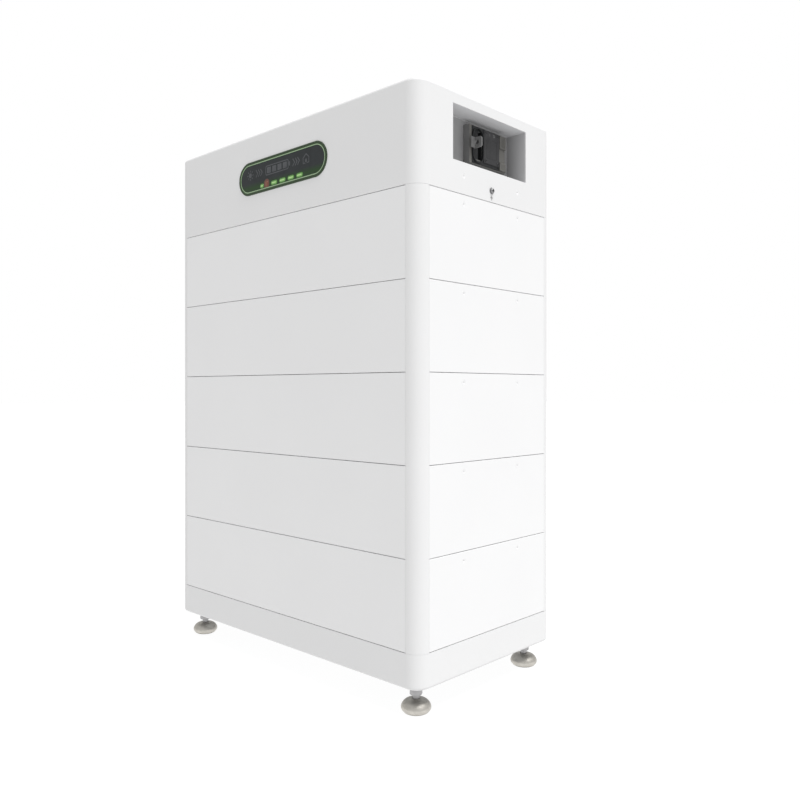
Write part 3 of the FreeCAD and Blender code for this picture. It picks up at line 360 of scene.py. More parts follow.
def make_materials():
    """One material per slot of the record, and a few finishes within them."""
    surfaces = {
        "frame_white": powder_coat("frame_white", (0.765, 0.765, 0.767)),
        "panel_white": powder_coat("panel_white", (0.813, 0.813, 0.816)),
        "recess_grey": recess_paint(),
        "foot_nickel": turned_metal("foot_nickel", (0.66, 0.635, 0.585), 0.48),
        "zinc_steel": plated_metal("zinc_steel", (0.50, 0.50, 0.50), 0.34),
        "black_steel": plated_metal("black_steel", (0.10, 0.10, 0.103), 0.38),
        "galvanised_sheet": galvanised("galvanised_sheet", (0.58, 0.59, 0.60)),
        "button_metal": turned_metal("button_metal", (0.60, 0.60, 0.61), 0.25),
        "copper": plated_metal("copper", (0.80, 0.45, 0.30), 0.28),
        "black_plastic": moulded_plastic("black_plastic", (0.022, 0.023, 0.024), 0.5, specular=0.3),
        "dark_grey_plastic": moulded_plastic("dark_grey_plastic", (0.055, 0.055, 0.057), 0.55,
                                             specular=0.2),
        "light_grey_plastic": moulded_plastic("light_grey_plastic", (0.18, 0.18, 0.18), 0.5,
                                              specular=0.3),
        "beige_grey_plastic": moulded_plastic("beige_grey_plastic", WARM_GREY, 0.55, specular=0.2),
        "orange_plastic": moulded_plastic("orange_plastic", (0.80, 0.25, 0.03), 0.42),
        "fuse_ceramic": moulded_plastic("fuse_ceramic", (0.72, 0.70, 0.62), 0.6),
        "rubber": moulded_plastic("rubber", (0.03, 0.03, 0.03), 0.8, 900.0),
        "cell_blue": plated_metal("cell_blue", (0.05, 0.15, 0.42), 0.35),
        "circuit_board": moulded_plastic("circuit_board", (0.02, 0.16, 0.07), 0.4),
        "green_light": lit_plastic("green_light", (0.13, 0.30, 0.075), 0.35),
        "red_light": lit_plastic("red_light", (0.145, 0.046, 0.022), 0.35),
        # finishes that share a slot with one above
        "breaker_case": breaker_case_plastic(),
        "window_black": window_plastic(),
        "bezel_green_black": moulded_plastic("bezel_green_black", (0.020, 0.048, 0.013), 0.45),
        "ring_base": lit_plastic("ring_base", (0.030, 0.110, 0.018), 0.25),
        "ring_bead": lit_plastic("ring_bead", (0.25, 0.34, 0.21), 0.35),
        "lens_core": lit_plastic("lens_core", (0.34, 0.52, 0.21), 0.35),
        "green_glow": lit_plastic("green_glow", (0.045, 0.165, 0.014), 0.25),
        "red_glow": lit_plastic("red_glow", (0.100, 0.027, 0.014), 0.25),
        "motif_grey": moulded_plastic("motif_grey", (0.090, 0.094, 0.100), 0.45, specular=0.2),
        "symbol_grey": moulded_plastic("symbol_grey", (0.20, 0.20, 0.20), 0.5),
        "symbol_pale": moulded_plastic("symbol_pale", (0.42, 0.42, 0.42), 0.5),
        "terminal_grey": plated_metal("terminal_grey", (0.34, 0.34, 0.345), 0.45),
        "stem_steel": turned_metal("stem_steel", (0.46, 0.455, 0.46), 0.42),
        "contact_gold": plated_metal("contact_gold", (0.85, 0.62, 0.28), 0.25),
    }
    return {name: surface.material for name, surface in surfaces.items()}


NODE_FINISH = {
    "breaker_body": "breaker_case",
    "display_window": "window_black",
    "display_bezel": "bezel_green_black",
    "light_ring": "ring_base",
}


def dress_nodes(materials):
    """Every CAD node takes the material of its slot, or its own finish within that slot."""
    for row in frame["record"]["subparts"]:
        mesh = frame["nodes"][row["node"]].data
        mesh.materials.clear()
        mesh.materials.append(materials[NODE_FINISH.get(row["node"], row["material_slot"])])


# ---------------------------------------------------------------- mesh helpers
class Builder:
    """Mesh in the making, in millimetres, in a local frame whose Z points out of the surface."""

    def __init__(self):
        self.bm = bmesh.new()
        self.place = Matrix.Identity(4)

    def at(self, place, outward=UPWARDS):
        """Puts the local frame at a place; its Y points up, or along +Y where outward is up."""
        out = Vector(outward)
        up = Vector((0, 1, 0)) if abs(out.z) > 0.5 else Vector((0, 0, 1))
        right = up.cross(out)
        turn = Matrix((right, up, out)).transposed().to_4x4()
        self.place = Matrix.Translation(Vector(place)) @ turn
        return self

    def loops(self, rows, closed=False):
        """Skin over equal loops of points; the ends are capped, or joined to each other."""
        rings = [[self.bm.verts.new(self.place @ Vector(point)) for point in row] for row in rows]
        pairs = list(zip(rings, rings[1:]))
        if closed:
            pairs.append((rings[-1], rings[0]))
        else:
            self.bm.faces.new(rings[0][::-1])
            self.bm.faces.new(rings[-1])
        for lower, upper in pairs:
            for k in range(len(lower)):
                after = (k + 1) % len(lower)
                self.bm.faces.new((lower[k], lower[after], upper[after], upper[k]))
        return self

    def turned(self, rows, steps=64, closed=False):
        """Body turned about local Z. A row is (radius, height), or a function of the angle."""
        angles = [2 * pi * k / steps for k in range(steps)]
        points = []
        for row in rows:
            pairs = [row(angle) if callable(row) else row for angle in angles]
            points.append([(radius * cos(angle), radius * sin(angle), height)
                           for angle, (radius, height) in zip(angles, pairs)])
        return self.loops(points, closed)

    def raised(self, outline, low, profile):
        """Solid on an outline, from low up; profile is (inset, height) rows, bottom to top."""
        rows = [[(x, y, low) for x, y in outline]]
        for inset, height in profile:
            rows.append([(x, y, height) for x, y in moved_inwards(outline, inset)])
        return self.loops(rows)

    def track(self, outline, profile):
        """Closed moulding along an outline; profile is (inset, height) rows round its section."""
        rows = [[(x, y, height) for x, y in moved_inwards(outline, inset)] for inset, height in profile]
        return self.loops(rows, closed=True)

    def line(self, points, width, low, high):
        """Raised stroke along an open run of points."""
        left = moved_sideways(points, width / 2)
        right = moved_sideways(points, -width / 2)
        return self.raised(right + left[::-1], low, ((0, high - 0.05), (0.05, high)))

    def thread(self, crest, root, pitch, low, high, steps=24):
        """Screw thread about local Z; it runs out to its root at both ends."""
        rows = []
        for turn in range(-1, ceil((high - low) / pitch) + 1):
            for share, radius in ((0.0, crest), (0.125, crest), (0.5, root), (0.625, root)):
                row = []
                for k in range(steps + 1):
                    angle = 2 * pi * k / steps
                    height = low + pitch * (turn + share + k / steps)
                    inside = low < height < high
                    size = radius if inside else root
                    row.append(self.bm.verts.new(self.place @ Vector((
                        size * cos(angle), size * sin(angle), min(max(height, low), high)))))
                rows.append(row)
        for lower, upper in zip(rows, rows[1:]):
            for k in range(steps):
                self.bm.faces.new((lower[k], lower[k + 1], upper[k + 1], upper[k]))
        return self

    def piece(self, name, material, body, slot, replaced=(), origin=None, smooth=35):
        """The finished object, riding on a body. An origin in millimetres becomes its own centre."""
        centre = Vector(origin) if origin else Vector((0, 0, 0))
        bmesh.ops.remove_doubles(self.bm, verts=self.bm.verts, dist=1e-4)
        bmesh.ops.dissolve_degenerate(self.bm, edges=self.bm.edges, dist=1e-4)
        bmesh.ops.recalc_face_normals(self.bm, faces=self.bm.faces)
        for vertex in self.bm.verts:
            vertex.co = (vertex.co - centre) * MM
        mesh = bpy.data.meshes.new(name)
        self.bm.to_mesh(mesh)
        self.bm.free()
        mesh.shade_smooth()
        mesh.set_sharp_from_angle(angle=radians(smooth))
        mesh.materials.append(material)
        obj = bpy.data.objects.new(name, mesh)
        obj.location = centre * MM
        scene.collection.objects.link(obj)
        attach(obj, body)
        if replaced:
            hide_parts(*replaced)
        return obj


def moved_inwards(outline, distance):
    """Closed anticlockwise outline moved inwards, with mitred corners."""
    moved = []
    for k, here in enumerate(outline):
        before, after = Vector(outline[k - 1]), Vector(outline[(k + 1) % len(outline)])
        here = Vector(here)
        moved.append(mitred(here, here - before, after - here, distance))
    return moved


def moved_sideways(points, distance):
    """Open run of points moved to its left."""
    spots = [Vector(point) for point in points]
    moved = []
    for k, here in enumerate(spots):
        into = here - spots[k - 1] if k else spots[1] - here
        out = spots[k + 1] - here if k < len(spots) - 1 else into
        moved.append(mitred(here, into, out, distance))
    return moved


def mitred(here, into, out, distance):
    """Corner point moved to the left of the path that runs through it."""
    side_in = Vector((-into.y, into.x)).normalized()
    side_out = Vector((-out.y, out.x)).normalized()
    middle = (side_in + side_out).normalized()
    place = here + middle * (distance / middle.dot(side_in))
    return place.x, place.y


def stadium(length, height, x=0.0, y=0.0, steps=16):
    """Round-ended bar, anticlockwise; taller than long stands it upright."""
    radius = min(length, height) / 2
    reach_x, reach_y = length / 2 - radius, height / 2 - radius
    start = -pi / 2 if reach_x >= reach_y else 0.0
    points = []
    for end, sign in ((0, 1), (1, -1)):
        for k in range(steps + 1):
            angle = start + pi * (end + k / steps)
            points.append((x + sign * reach_x + radius * cos(angle),
                           y + sign * reach_y + radius * sin(angle)))
    return points


def arc_through(start, middle, end, steps=14):
    """Points on the arc from start to end by way of middle, as rows for turned()."""
    start, middle, end = Vector(start), Vector(middle), Vector(end)
    one, two = middle - start, end - start
    twice_area = 2 * (one.x * two.y - one.y * two.x)
    offset = Vector((two.y * one.length_squared - one.y * two.length_squared,
                     one.x * two.length_squared - two.x * one.length_squared)) / twice_area
    centre, radius = start + offset, offset.length
    first, last = (atan2(point.y - centre.y, point.x - centre.x) for point in (start, end))
    angles = [first + (last - first) * k / steps for k in range(steps + 1)]
    return [(centre.x + radius * cos(angle), centre.y + radius * sin(angle)) for angle in angles]


def rounded_box(width, height, radius, x=0.0, y=0.0, steps=5):
    """Rectangle with rounded corners, anticlockwise."""
    points = []
    for corner, (side_x, side_y) in enumerate(((1, 1), (-1, 1), (-1, -1), (1, -1))):
        for k in range(steps + 1):
            angle = pi / 2 * (corner + k / steps)
            points.append((x + side_x * (width / 2 - radius) + radius * cos(angle),
                           y + side_y * (height / 2 - radius) + radius * sin(angle)))
    return points


def circle(radius, x=0.0, y=0.0, steps=32):
    """Circle as a closed outline."""
    return [(x + radius * cos(2 * pi * k / steps), y + radius * sin(2 * pi * k / steps))
            for k in range(steps)]


def hexagon_row(flats, height, rise=0.0, inside=0.0):
    """Row for turned(): a hexagon across flats. With a rise, its height follows a chamfer cone."""
    def row(angle):
        radius = flats / 2 / cos(angle % (pi / 3) - pi / 6)
        return radius, height + rise * (radius - inside)
    return row


def cross_row(reach, width, height):
    """Row for turned(): the outline of a cross recess."""
    def row(angle):
        off_arm = abs((angle + pi / 4) % (pi / 2) - pi / 4)
        radius = reach / cos(off_arm)
        if off_arm > 0.01:
            radius = min(radius, width / 2 / sin(off_arm))
        return radius, height
    return row


def box_mm(node):
    """A CAD node's lowest and highest corner in millimetres."""
    low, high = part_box(node)
    return low / MM, high / MM


def solids_of(node):
    """Lowest and highest corner, in millimetres, of each separate solid of a CAD node."""
    bm = bmesh.new()
    bm.from_mesh(frame["nodes"][node].data)
    bmesh.ops.remove_doubles(bm, verts=bm.verts, dist=1e-6)
    waiting = set(bm.verts)
    boxes = []
    while waiting:
        group = [waiting.pop()]
        for vertex in group:
            for edge in vertex.link_edges:
                other = edge.other_vert(vertex)
                if other in waiting:
                    waiting.remove(other)
                    group.append(other)
        low = Vector([min(vertex.co[k] for vertex in group) for k in range(3)]) / MM
        high = Vector([max(vertex.co[k] for vertex in group) for k in range(3)]) / MM
        boxes.append((low, high))
    bm.free()
    return sorted(boxes, key=lambda corners: tuple(round(value, 2) for value in corners[0]))


def middle_of(corners):
    """Middle of a (low, high) pair of corners."""
    return (corners[0] + corners[1]) / 2


# ---------------------------------------------------------------- feet
FOOT_NAMES = ("front_left", "front_right", "rear_left", "rear_right")
THREAD_PITCH = 1.75          # M12
THREAD_DEPTH = 0.95
THREAD_CREST = 6.0
SPIGOT_RADIUS = 5.9
SPIGOT_LENGTH = 16.5         # stem's lower end to the underside of its hexagon
HEXAGON_GAP = 0.2            # hexagon's top to the lock nut
HEXAGON_CHAMFER = tan(radians(30))
SOLE_GROOVES = [(7.0, 0.6), (9.5, 0.0), (12.2, 0.0), (12.6, 0.6), (13.2, 0.6), (13.6, 0.0), (15.6, 0.0),
                (16.0, 0.6), (16.6, 0.6), (17.0, 0.0), (18.4, 0.0), (19.0, 0.4), (19.0, 1.6),
                (7.0, 1.6)]


def add_foot_pad(materials, name):
    """Turned nickel-plated pad on a grooved rubber sole; rows are (radius, height over the floor)."""
    node = "foot_pad_" + name
    low, high = box_mm(node)
    centre = ((low.x + high.x) / 2, (low.y + high.y) / 2, low.z)
    radius, top = (high.x - low.x) / 2, high.z - low.z
    neck = [(6.3, 12.5), (6.3, top - 0.5), (6.8, top), (9.1, top), (9.5, top - 0.3), (11.4, top - 1.0)]
    shoulder = arc_through((11.6, top - 1.1), (21.0, top - 5.6), (radius, 9.6))
    flank = arc_through((radius, 9.0), (23.8, 4.7), (20.6, 1.9), steps=8)
    base = [(20.9, 1.6), (20.7, 1.2), (19.4, 1.0), (8.0, 1.0), (6.3, 2.0)]
    dome = Builder().at(centre)
    dome.turned(neck + shoulder + flank + base, steps=96, closed=True)
    dome.piece(node + "_dome", materials["foot_nickel"], node, "foot_nickel", (node,), origin=centre)
    sole = Builder().at(centre)
    sole.turned(SOLE_GROOVES, steps=96, closed=True)
    sole.piece(node + "_sole", materials["rubber"], node, "rubber", (node,), origin=centre)


def add_foot_stem(materials, name):
    """M12 stem: chamfered spanner hexagon, real thread, plain spigot."""
    node = "foot_stem_" + name
    low, high = box_mm(node)
    x, y = (low.x + high.x) / 2, (low.y + high.y) / 2
    flats = high.y - low.y
    hex_low = low.z + SPIGOT_LENGTH
    hex_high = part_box("foot_lock_nuts")[0].z / MM - HEXAGON_GAP
    root, washer = THREAD_CREST - THREAD_DEPTH, flats / 2 - 0.4
    builder = Builder().at((x, y, 0))
    builder.turned([(SPIGOT_RADIUS - 0.6, low.z), (SPIGOT_RADIUS, low.z + 0.6),
                    (SPIGOT_RADIUS, hex_low), (washer, hex_low),
                    hexagon_row(flats, hex_low, HEXAGON_CHAMFER, washer),
                    hexagon_row(flats, hex_high, -HEXAGON_CHAMFER, washer),
                    (washer, hex_high), (root - 0.02, hex_high)], steps=72)
    builder.thread(THREAD_CREST, root, THREAD_PITCH, hex_high, high.z)
    builder.turned([(root, high.z - 2.0), (root, high.z)], steps=24)
    builder.piece(node + "_threaded", materials["stem_steel"], node, "foot_nickel", (node,),
                  origin=(x, y, low.z), smooth=28)


def add_lock_nuts(materials):
    """Thin chamfered nuts under the corner blocks."""
    builder = Builder()
    for low, high in solids_of("foot_lock_nuts"):
        flats = high.y - low.y
        washer = flats / 2 - 0.4
        bore, lead = 6.05, 0.7
        builder.at(((low.x + high.x) / 2, (low.y + high.y) / 2, 0))
        builder.turned([(bore, low.z + lead), (bore + lead, low.z), (washer, low.z),
                        hexagon_row(flats, low.z, HEXAGON_CHAMFER, washer),
                        hexagon_row(flats, high.z, -HEXAGON_CHAMFER, washer),
                        (washer, high.z), (bore + lead, high.z), (bore, high.z - lead)],
                       steps=72, closed=True)
    builder.piece("foot_lock_nuts_chamfered", materials["zinc_steel"], "root", "zinc_steel",
                  ("foot_lock_nuts",), smooth=28)


# ---------------------------------------------------------------- fasteners
SOCKET_FLATS, SOCKET_DEPTH = 2.5, 0.8


def hex_socket_head(builder, head, shank, length):
    """Flush countersunk screw with a hexagon socket; its face is at height 0."""
    builder.turned([(shank, -length), (shank, -head + shank), (head, -0.25), (head - 0.15, 0.0),
                    (SOCKET_FLATS / 2 + 0.55, 0.0), hexagon_row(SOCKET_FLATS, -0.25),
                    hexagon_row(SOCKET_FLATS, -SOCKET_DEPTH), (0.25, -SOCKET_DEPTH - 0.5)], steps=48)


def cross_head(builder, head, height, shank, length):
    """Pan head with a cross recess, on a shank; the surface it sits on is at height 0."""
    reach, width, depth = head * 0.55, head * 0.30, height * 0.75
    builder.turned([(shank, -length), (shank, 0.0), (head, 0.0), (head, height * 0.35),
                    (head * 0.93, height * 0.72), (head * 0.80, height * 0.93), (head * 0.62, height),
                    cross_row(reach, width, height),
                    cross_row(reach * 0.7, width * 0.8, height - depth),
                    (0.15, height - depth - 0.1)], steps=64)


def add_side_screws(materials):
    """Painted flush screws of the side panels, with hexagon sockets."""
    builder = Builder()
    for corners in solids_of("side_screws"):
        low, high = corners
        side = RIGHT_SIDE if high.x > 0 else LEFT_SIDE
        face = high.x if high.x > 0 else low.x
        middle = middle_of(corners)
        builder.at((face, middle.y, middle.z), side)
        hex_socket_head(builder, (high.y - low.y) / 2 - 0.1, 2.4, high.x - low.x - 0.5)
    builder.piece("side_screws_socketed", materials["panel_white"], "root", "panel_white",
                  ("side_screws",))


def add_earth_terminal(materials):
    """Earth screw with its toothed washer, and the plain earth symbol below it."""
    low, high = box_mm("earth_screw")
    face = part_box("head_shell")[1].x / MM
    y, z = (low.y + high.y) / 2, (low.z + high.z) / 2
    washer = (high.y - low.y) / 2

    def toothed(height):
        return lambda angle: (washer - 0.7 * (0.5 + 0.5 * cos(18 * angle)), height)

    builder = Builder().at((face, y, z), RIGHT_SIDE)
    builder.turned([(3.2, 0.02), toothed(0.02), toothed(0.7), (4.9, 1.0), (3.2, 1.0)],
                   steps=144, closed=True)
    builder.at((face + 1.0, y, z), RIGHT_SIDE)
    cross_head(builder, 4.3, high.x - face - 1.05, 2.9, 15.0)
    builder.piece("earth_screw_toothed", materials["terminal_grey"], "root", "black_steel",
                  ("earth_screw",))
    symbol = Builder().at((face, y, low.z - 2.0), RIGHT_SIDE)
    symbol.line([(0, 0), (0, -3.2)], 0.9, -SUNK, 0.2)
    for half, drop in ((3.6, -3.6), (2.4, -5.4), (1.2, -7.2)):
        symbol.line([(-half, drop), (half, drop)], 0.9, -SUNK, 0.2)
    symbol.piece("earth_symbol", materials["symbol_grey"], "root", "black_plastic")


def add_tie_inserts(materials):
    """Threaded inserts in the rear of the head: flange with a lead-in, M8 thread inside."""
    builder = Builder()
    for corners in solids_of("tie_inserts"):
        low, high = corners
        middle = middle_of(corners)
        flange = (high.x - low.x) / 2
        depth = high.y - low.y
        builder.at((middle.x, high.y, middle.z), REAR)
        builder.turned([(3.9, -depth), (5.35, -depth), (5.35, -1.0), (flange, -1.0), (flange, -0.25),
                        (flange - 0.25, 0.0), (4.6, 0.0), (3.9, -0.7)], steps=64, closed=True)
        builder.thread(3.4, 3.9, 1.25, -depth, -0.6)
    builder.piece("tie_inserts_threaded", materials["zinc_steel"], "root", "zinc_steel",
                  ("tie_inserts",))


# ---------------------------------------------------------------- display
LED_PROUD = 0.4              # domed lens above the front of its LED
LED_STYLES = (
    # node, slot, painted glow border's finish, border's width, border's height
    ("green_leds", "green_light", "green_glow", 1.7, 0.06),
    ("red_led", "red_light", "red_glow", 4.2, 0.10),
)


def add_leds(materials):
    """Domed lenses, each with a dim green or red painted glow border on the window round it, standing
    for the light the LED throws there.
    """
    window_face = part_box("display_window")[0].y / MM
    for node, slot, glow, width, proud in LED_STYLES:
        lenses, glow_borders = Builder(), Builder()
        for corners in solids_of(node):
            low, high = corners
            middle = middle_of(corners)
            outline = stadium(high.x - low.x, high.z - low.z)
            lenses.at((middle.x, low.y, middle.z), FRONT)
            lenses.raised(outline, low.y - high.y, ((0, 0.0), (0.15, 0.18), (0.5, LED_PROUD * 0.75),
                                                    (1.1, LED_PROUD * 0.95), (1.8, LED_PROUD)))
            # painted light: a thin glowing border on the window round each lens
            glow_borders.at((middle.x, window_face, middle.z), FRONT)
            glow_borders.track(outline, ((-0.15, -0.05), (-width, -0.05), (0.1 - width, proud),
                                    (-0.15, proud + 0.04)))
        lenses.piece(node + "_domed", materials[slot], "root", slot, (node,), smooth=60)
        glow_borders.piece(node + "_borders", materials[glow], "root", slot)
        if node == "green_leds":
            add_led_cores(materials, node, slot)


def add_led_cores(materials, node, slot):
    """Brighter glowing core on the middle of each lens, a painted highlight on the lit lens."""
    cores = Builder()
    for corners in solids_of(node):
        low, high = corners
        middle = middle_of(corners)
        outline = moved_inwards(stadium(high.x - low.x, high.z - low.z), 1.6)
        # painted highlight: a brighter glowing patch in the middle of the lens
        cores.at((middle.x, low.y, middle.z), FRONT)
        cores.raised(outline, 0.0, ((0, LED_PROUD * 0.97), (0.3, LED_PROUD * 1.1)))
    cores.piece(node + "_cores", materials["lens_core"], "root", slot, smooth=60)


def add_ring_bead(materials):
    """Bright rounded bead along the middle of the light ring."""
    low, high = box_mm("light_ring")
    hole_low, hole_high = box_mm("display_window")
    width = (high.z - low.z - (hole_high.z - hole_low.z)) / 2
    middle = (low + high) / 2
    outline = stadium(high.x - low.x - width, high.z - low.z - width, steps=48)
    builder = Builder().at((middle.x, low.y, middle.z), FRONT)
    builder.track(outline, ((-0.75, -0.05), (-0.65, 0.16), (-0.35, 0.30), (0, 0.34), (0.35, 0.30),
                            (0.65, 0.16), (0.75, -0.05)))
    builder.piece("light_ring_bead", materials["ring_bead"], "root", "green_light", smooth=70)


def battery_icon(builder, x, y, low, high):
    """Lying battery outline with its pole and four cells."""
    length, height = 70.0, 19.0
    case = rounded_box(length, height, 4.0, x, y)
    builder.track(case, ((0, low), (0, high), (2.0, high), (2.0, low)))
    builder.raised(rounded_box(3.6, 8.0, 1.2, x + length / 2 + 2.6, y), low, ((0, high),))
    for k in range(4):
        cell = rounded_box(12.0, 11.4, 1.5, x - 24.0 + 16.0 * k, y)
        builder.raised(cell, low, ((0, high - 0.05), (0.1, high)))


def sun_icon(builder, x, y, low, high):
    """Disc with eight rays."""
    builder.raised(circle(4.6, x, y), low, ((0, high - 0.05), (0.1, high)))
    for k in range(8):
        angle = pi / 4 * k
        points = [(x + reach * cos(angle), y + reach * sin(angle)) for reach in (6.4, 9.8)]
        builder.line(points, 2.0, low, high)


def house_icon(builder, x, y, low, high):
    """House outline with a door."""
    outline = [(x - 9, y - 9), (x + 9, y - 9), (x + 9, y + 2), (x, y + 9.6), (x - 9, y + 2)]
    builder.track(outline, ((0, low), (0, high), (2.0, high), (2.0, low)))
    builder.raised(rounded_box(5.0, 7.4, 0.8, x, y - 4.4), low, ((0, high - 0.05), (0.1, high)))


def chevrons(builder, x, y, low, high):
    """Three arrowheads in a row."""
    for k in range(3):
        tip = x + 7.0 * (k - 1) + 2.5
        builder.line([(tip - 5.5, y + 7.0), (tip, y), (tip - 5.5, y - 7.0)], 2.2, low, high)


MOTIF_ROW = ((sun_icon, -86.0), (chevrons, -58.0), (battery_icon, -3.0), (chevrons, 54.0),
             (house_icon, 82.0))
MOTIF_HEIGHT = 0.22
MOTIF_LEFT, MOTIF_UP = 8.0, 6.5          # from the middle of the window


def add_display_motif(materials):
    """Low-contrast raised energy-flow motif: sun, battery and house with arrowheads between."""
    low, high = box_mm("display_window")
    middle = (low + high) / 2
    builder = Builder().at((middle.x - MOTIF_LEFT, low.y, middle.z + MOTIF_UP), FRONT)
    for icon, x in MOTIF_ROW:
        icon(builder, x, 0, -SUNK, MOTIF_HEIGHT)
    builder.piece("display_motif", materials["motif_grey"], "root", "black_plastic")


# ---------------------------------------------------------------- breaker
def add_breaker_screws(materials):
    """Cross-recess screws of the breaker's front plate."""
    builder = Builder()
    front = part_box("breaker_faceplate")[1].x / MM
    for corners in solids_of("breaker_screws"):
        low, high = corners
        middle = middle_of(corners)
        builder.at((front, middle.y, middle.z), RIGHT_SIDE)
        cross_head(builder, (high.y - low.y) / 2, high.x - front, 1.5, front - low.x)
    builder.piece("breaker_screws_cross", materials["black_steel"], "root", "black_steel",
                  ("breaker_screws",))


def add_breaker_marks(materials):
    """On and off marks of the breaker, a raised blank field and the grips of its covers."""
    low, high = box_mm("breaker_faceplate")
    middle = (low + high) / 2
    builder = Builder().at((high.x, middle.y, middle.z), RIGHT_SIDE)
    builder.track(rounded_box(30.0, 34.0, 2.0, 0, -2.0),
                  ((0, -SUNK), (0.1, 0.3), (0.9, 0.3), (1.0, -SUNK)))
    builder.piece("breaker_plate_field", materials["dark_grey_plastic"], "root", "dark_grey_plastic")
    marks = Builder().at((high.x, middle.y, high.z - 5.5), RIGHT_SIDE)
    marks.line([(-6.0, -2.2), (-6.0, 2.2)], 0.9, -SUNK, 0.2)
    marks.track(circle(2.5, 6.0, 0.0), ((0, -SUNK), (0, 0.2), (0.8, 0.2), (0.8, -SUNK)))
    marks.piece("breaker_marks", materials["symbol_grey"], "root", "black_plastic")
    grips = Builder()
    for low, high in solids_of("breaker_terminal_covers"):
        centre = ((low.y + high.y) / 2, (low.z + high.z) / 2)
        reach = (high.z - low.z) / 2 - 2.6
        grips.at((high.x, *centre), RIGHT_SIDE)
        for k in range(4):
            x = -4.5 + 3.0 * k
            grips.line([(x, -reach), (x, reach)], 1.2, -SUNK, 0.5)
    grips.piece("terminal_cover_grips", materials["beige_grey_plastic"], "root", "beige_grey_plastic")


CHAMBER_RADIUS = 14.8        # of the lining, round the lever's pivot
CHAMBER_WALL = 13.3          # from the pivot's plane to the straight side
CHAMBER_HALF_HEIGHT = 25.2
CHAMBER_END_RADIUS = 13.2    # of the black ends under the oval rim
CHAMBER_END_OFFSET = 15.5    # their centres, above and below the rim's middle


def add_lever_chamber(materials):
    """Black lining of the chamber behind the oval rim, and black ends under the rim."""
    rim_low, rim_high = box_mm("breaker_fascia")
    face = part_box("breaker_fascia")[0].x / MM
    joints = frame["record"]["behaviour"]["joints"]
    pivot = next(joint for joint in joints if joint["name"] == "breaker_throw")
    x, y, z = (value / MM for value in pivot["pos_m"])
    start = atan2(CHAMBER_WALL, CHAMBER_RADIUS * 0.44)
    turn = 2 * (pi - start)
    arc = [(CHAMBER_RADIUS * cos(start + turn * k / 24), CHAMBER_RADIUS * sin(start + turn * k / 24))
           for k in range(25)]
    lining = Builder().at((x, y, z))
    lining.line([(face - x - 0.3, CHAMBER_WALL)] + arc, 0.3, -CHAMBER_HALF_HEIGHT, CHAMBER_HALF_HEIGHT)
    lining.piece("lever_chamber_lining", materials["black_plastic"], "root", "black_plastic")
    ends = Builder()
    for side in (-1, 1):
        ends.at((face, y, (rim_low.z + rim_high.z) / 2 - 0.5), RIGHT_SIDE)
        middle = side * CHAMBER_END_OFFSET
        arc = [(CHAMBER_END_RADIUS * cos(radians(angle)),
                middle + side * CHAMBER_END_RADIUS * sin(radians(angle)))
               for angle in range(55, 126, 5)]
        ends.raised(arc[::side], 0.02, ((0, 0.3), (0.1, 0.35)))
    ends.piece("lever_chamber_ends", materials["black_plastic"], "root", "black_plastic")


# ---------------------------------------------------------------- connector bay
def add_socket_details(materials):
    """Contact rings at the bottom of the power sockets, with plus and minus marks over them."""
    wall = -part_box("breaker_tub")[0].x / MM - 1.5
    contacts, marks = Builder(), Builder()
    for number, corners in enumerate(solids_of("power_sockets")):
        low, high = corners
        middle = middle_of(corners)
        contacts.at((wall, middle.y, middle.z), LEFT_SIDE)
        contacts.turned([(3.4, 0.0), (6.8, 0.0), (6.8, 1.4), (6.2, 2.0), (4.0, 2.0), (3.4, 1.4)],
                        closed=True)
        marks.at((wall, middle.y, high.z + 9.0), LEFT_SIDE)
        marks.line([(-4.0, 0), (4.0, 0)], 1.6, -SUNK, 0.25)
        if number:
            marks.line([(0, 0.8), (0, 4.0)], 1.6, -SUNK, 0.25)
            marks.line([(0, -4.0), (0, -0.8)], 1.6, -SUNK, 0.25)
    contacts.piece("socket_contacts", materials["contact_gold"], "root", "copper")
    marks.piece("polarity_marks", materials["symbol_pale"], "root", "light_grey_plastic")


PORT_MARGIN = 4              # end walls of the port block
CONTACT_PITCH = 1.1


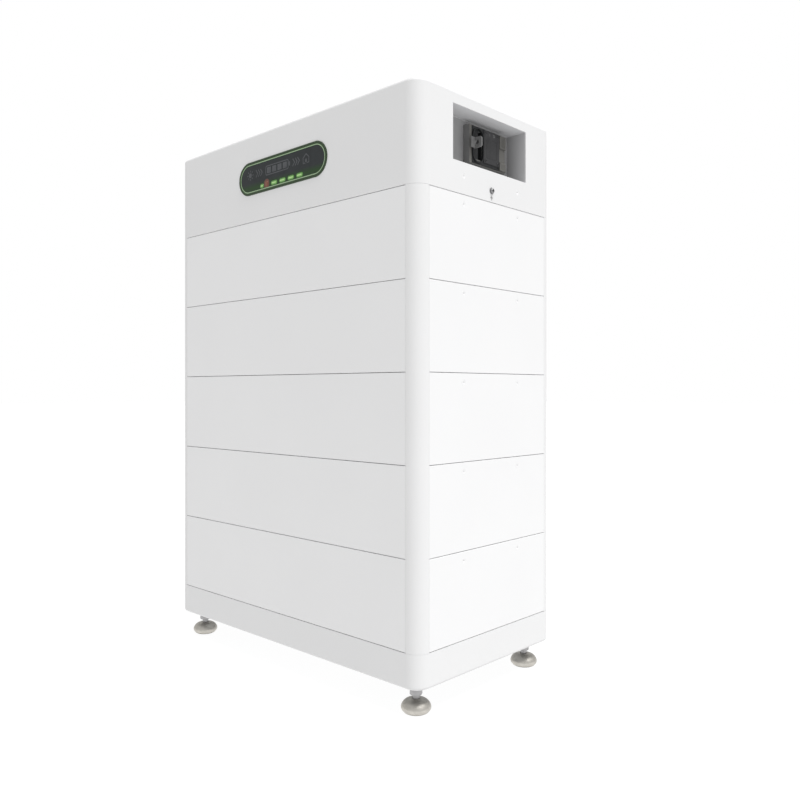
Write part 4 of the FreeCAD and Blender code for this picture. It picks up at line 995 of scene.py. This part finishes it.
def add_port_contacts(materials):
    """Eight spring contacts in each data port."""
    low, high = box_mm("comm_ports")
    builder = Builder()
    pitch = (high.y - low.y - 2 * PORT_MARGIN) / 3
    for port in range(3):
        centre = low.y + PORT_MARGIN + pitch * (port + 0.5)
        builder.at((low.x + 8.0, centre, (low.z + high.z) / 2), LEFT_SIDE)
        for k in range(8):
            x = CONTACT_PITCH * (k - 3.5)
            builder.raised(rounded_box(0.5, 3.0, 0.1, x, 2.9), -6.0, ((0, 4.0), (0.1, 4.2)))
    builder.piece("port_contacts", materials["contact_gold"], "root", "copper")


def add_button_face(materials):
    """Lit ring round the wake button and the power symbol on its cap."""
    low, high = box_mm("power_button")
    middle = (low + high) / 2
    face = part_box("button_housing")[0].x / MM
    ring = Builder().at((face, middle.y, middle.z), LEFT_SIDE)
    ring.turned([(9.3, -SUNK), (9.4, 0.25), (9.9, 0.4), (10.4, 0.25), (10.5, -SUNK)],
                steps=96, closed=True)
    ring.piece("button_light_ring", materials["ring_bead"], "root", "green_light", smooth=70)
    symbol = Builder().at((low.x, middle.y, middle.z), LEFT_SIDE)
    arc = [(3.4 * cos(radians(angle)), 3.4 * sin(radians(angle))) for angle in range(125, 416, 10)]
    symbol.line(arc, 0.8, -SUNK, 0.12)
    symbol.line([(0, 1.0), (0, 4.4)], 0.8, -SUNK, 0.12)
    symbol.piece("button_symbol", materials["symbol_grey"], "power_button", "black_plastic")


# ---------------------------------------------------------------- main
def add_details(materials):
    """All detail pieces."""
    for name in FOOT_NAMES:
        add_foot_pad(materials, name)
        add_foot_stem(materials, name)
    add_lock_nuts(materials)
    add_side_screws(materials)
    add_earth_terminal(materials)
    add_tie_inserts(materials)
    add_leds(materials)
    add_ring_bead(materials)
    add_display_motif(materials)
    add_breaker_screws(materials)
    add_breaker_marks(materials)
    add_lever_chamber(materials)
    add_socket_details(materials)
    add_port_contacts(materials)
    add_button_face(materials)


materials = make_materials()
add_camera()
add_world(seen=1.0, lighting=0.6)
add_overhead_light(elevation=68, spread=25, strength=2.9)
add_floor(glow=0.95)
dress_nodes(materials)
add_details(materials)

scene.view_settings.view_transform = "Standard"
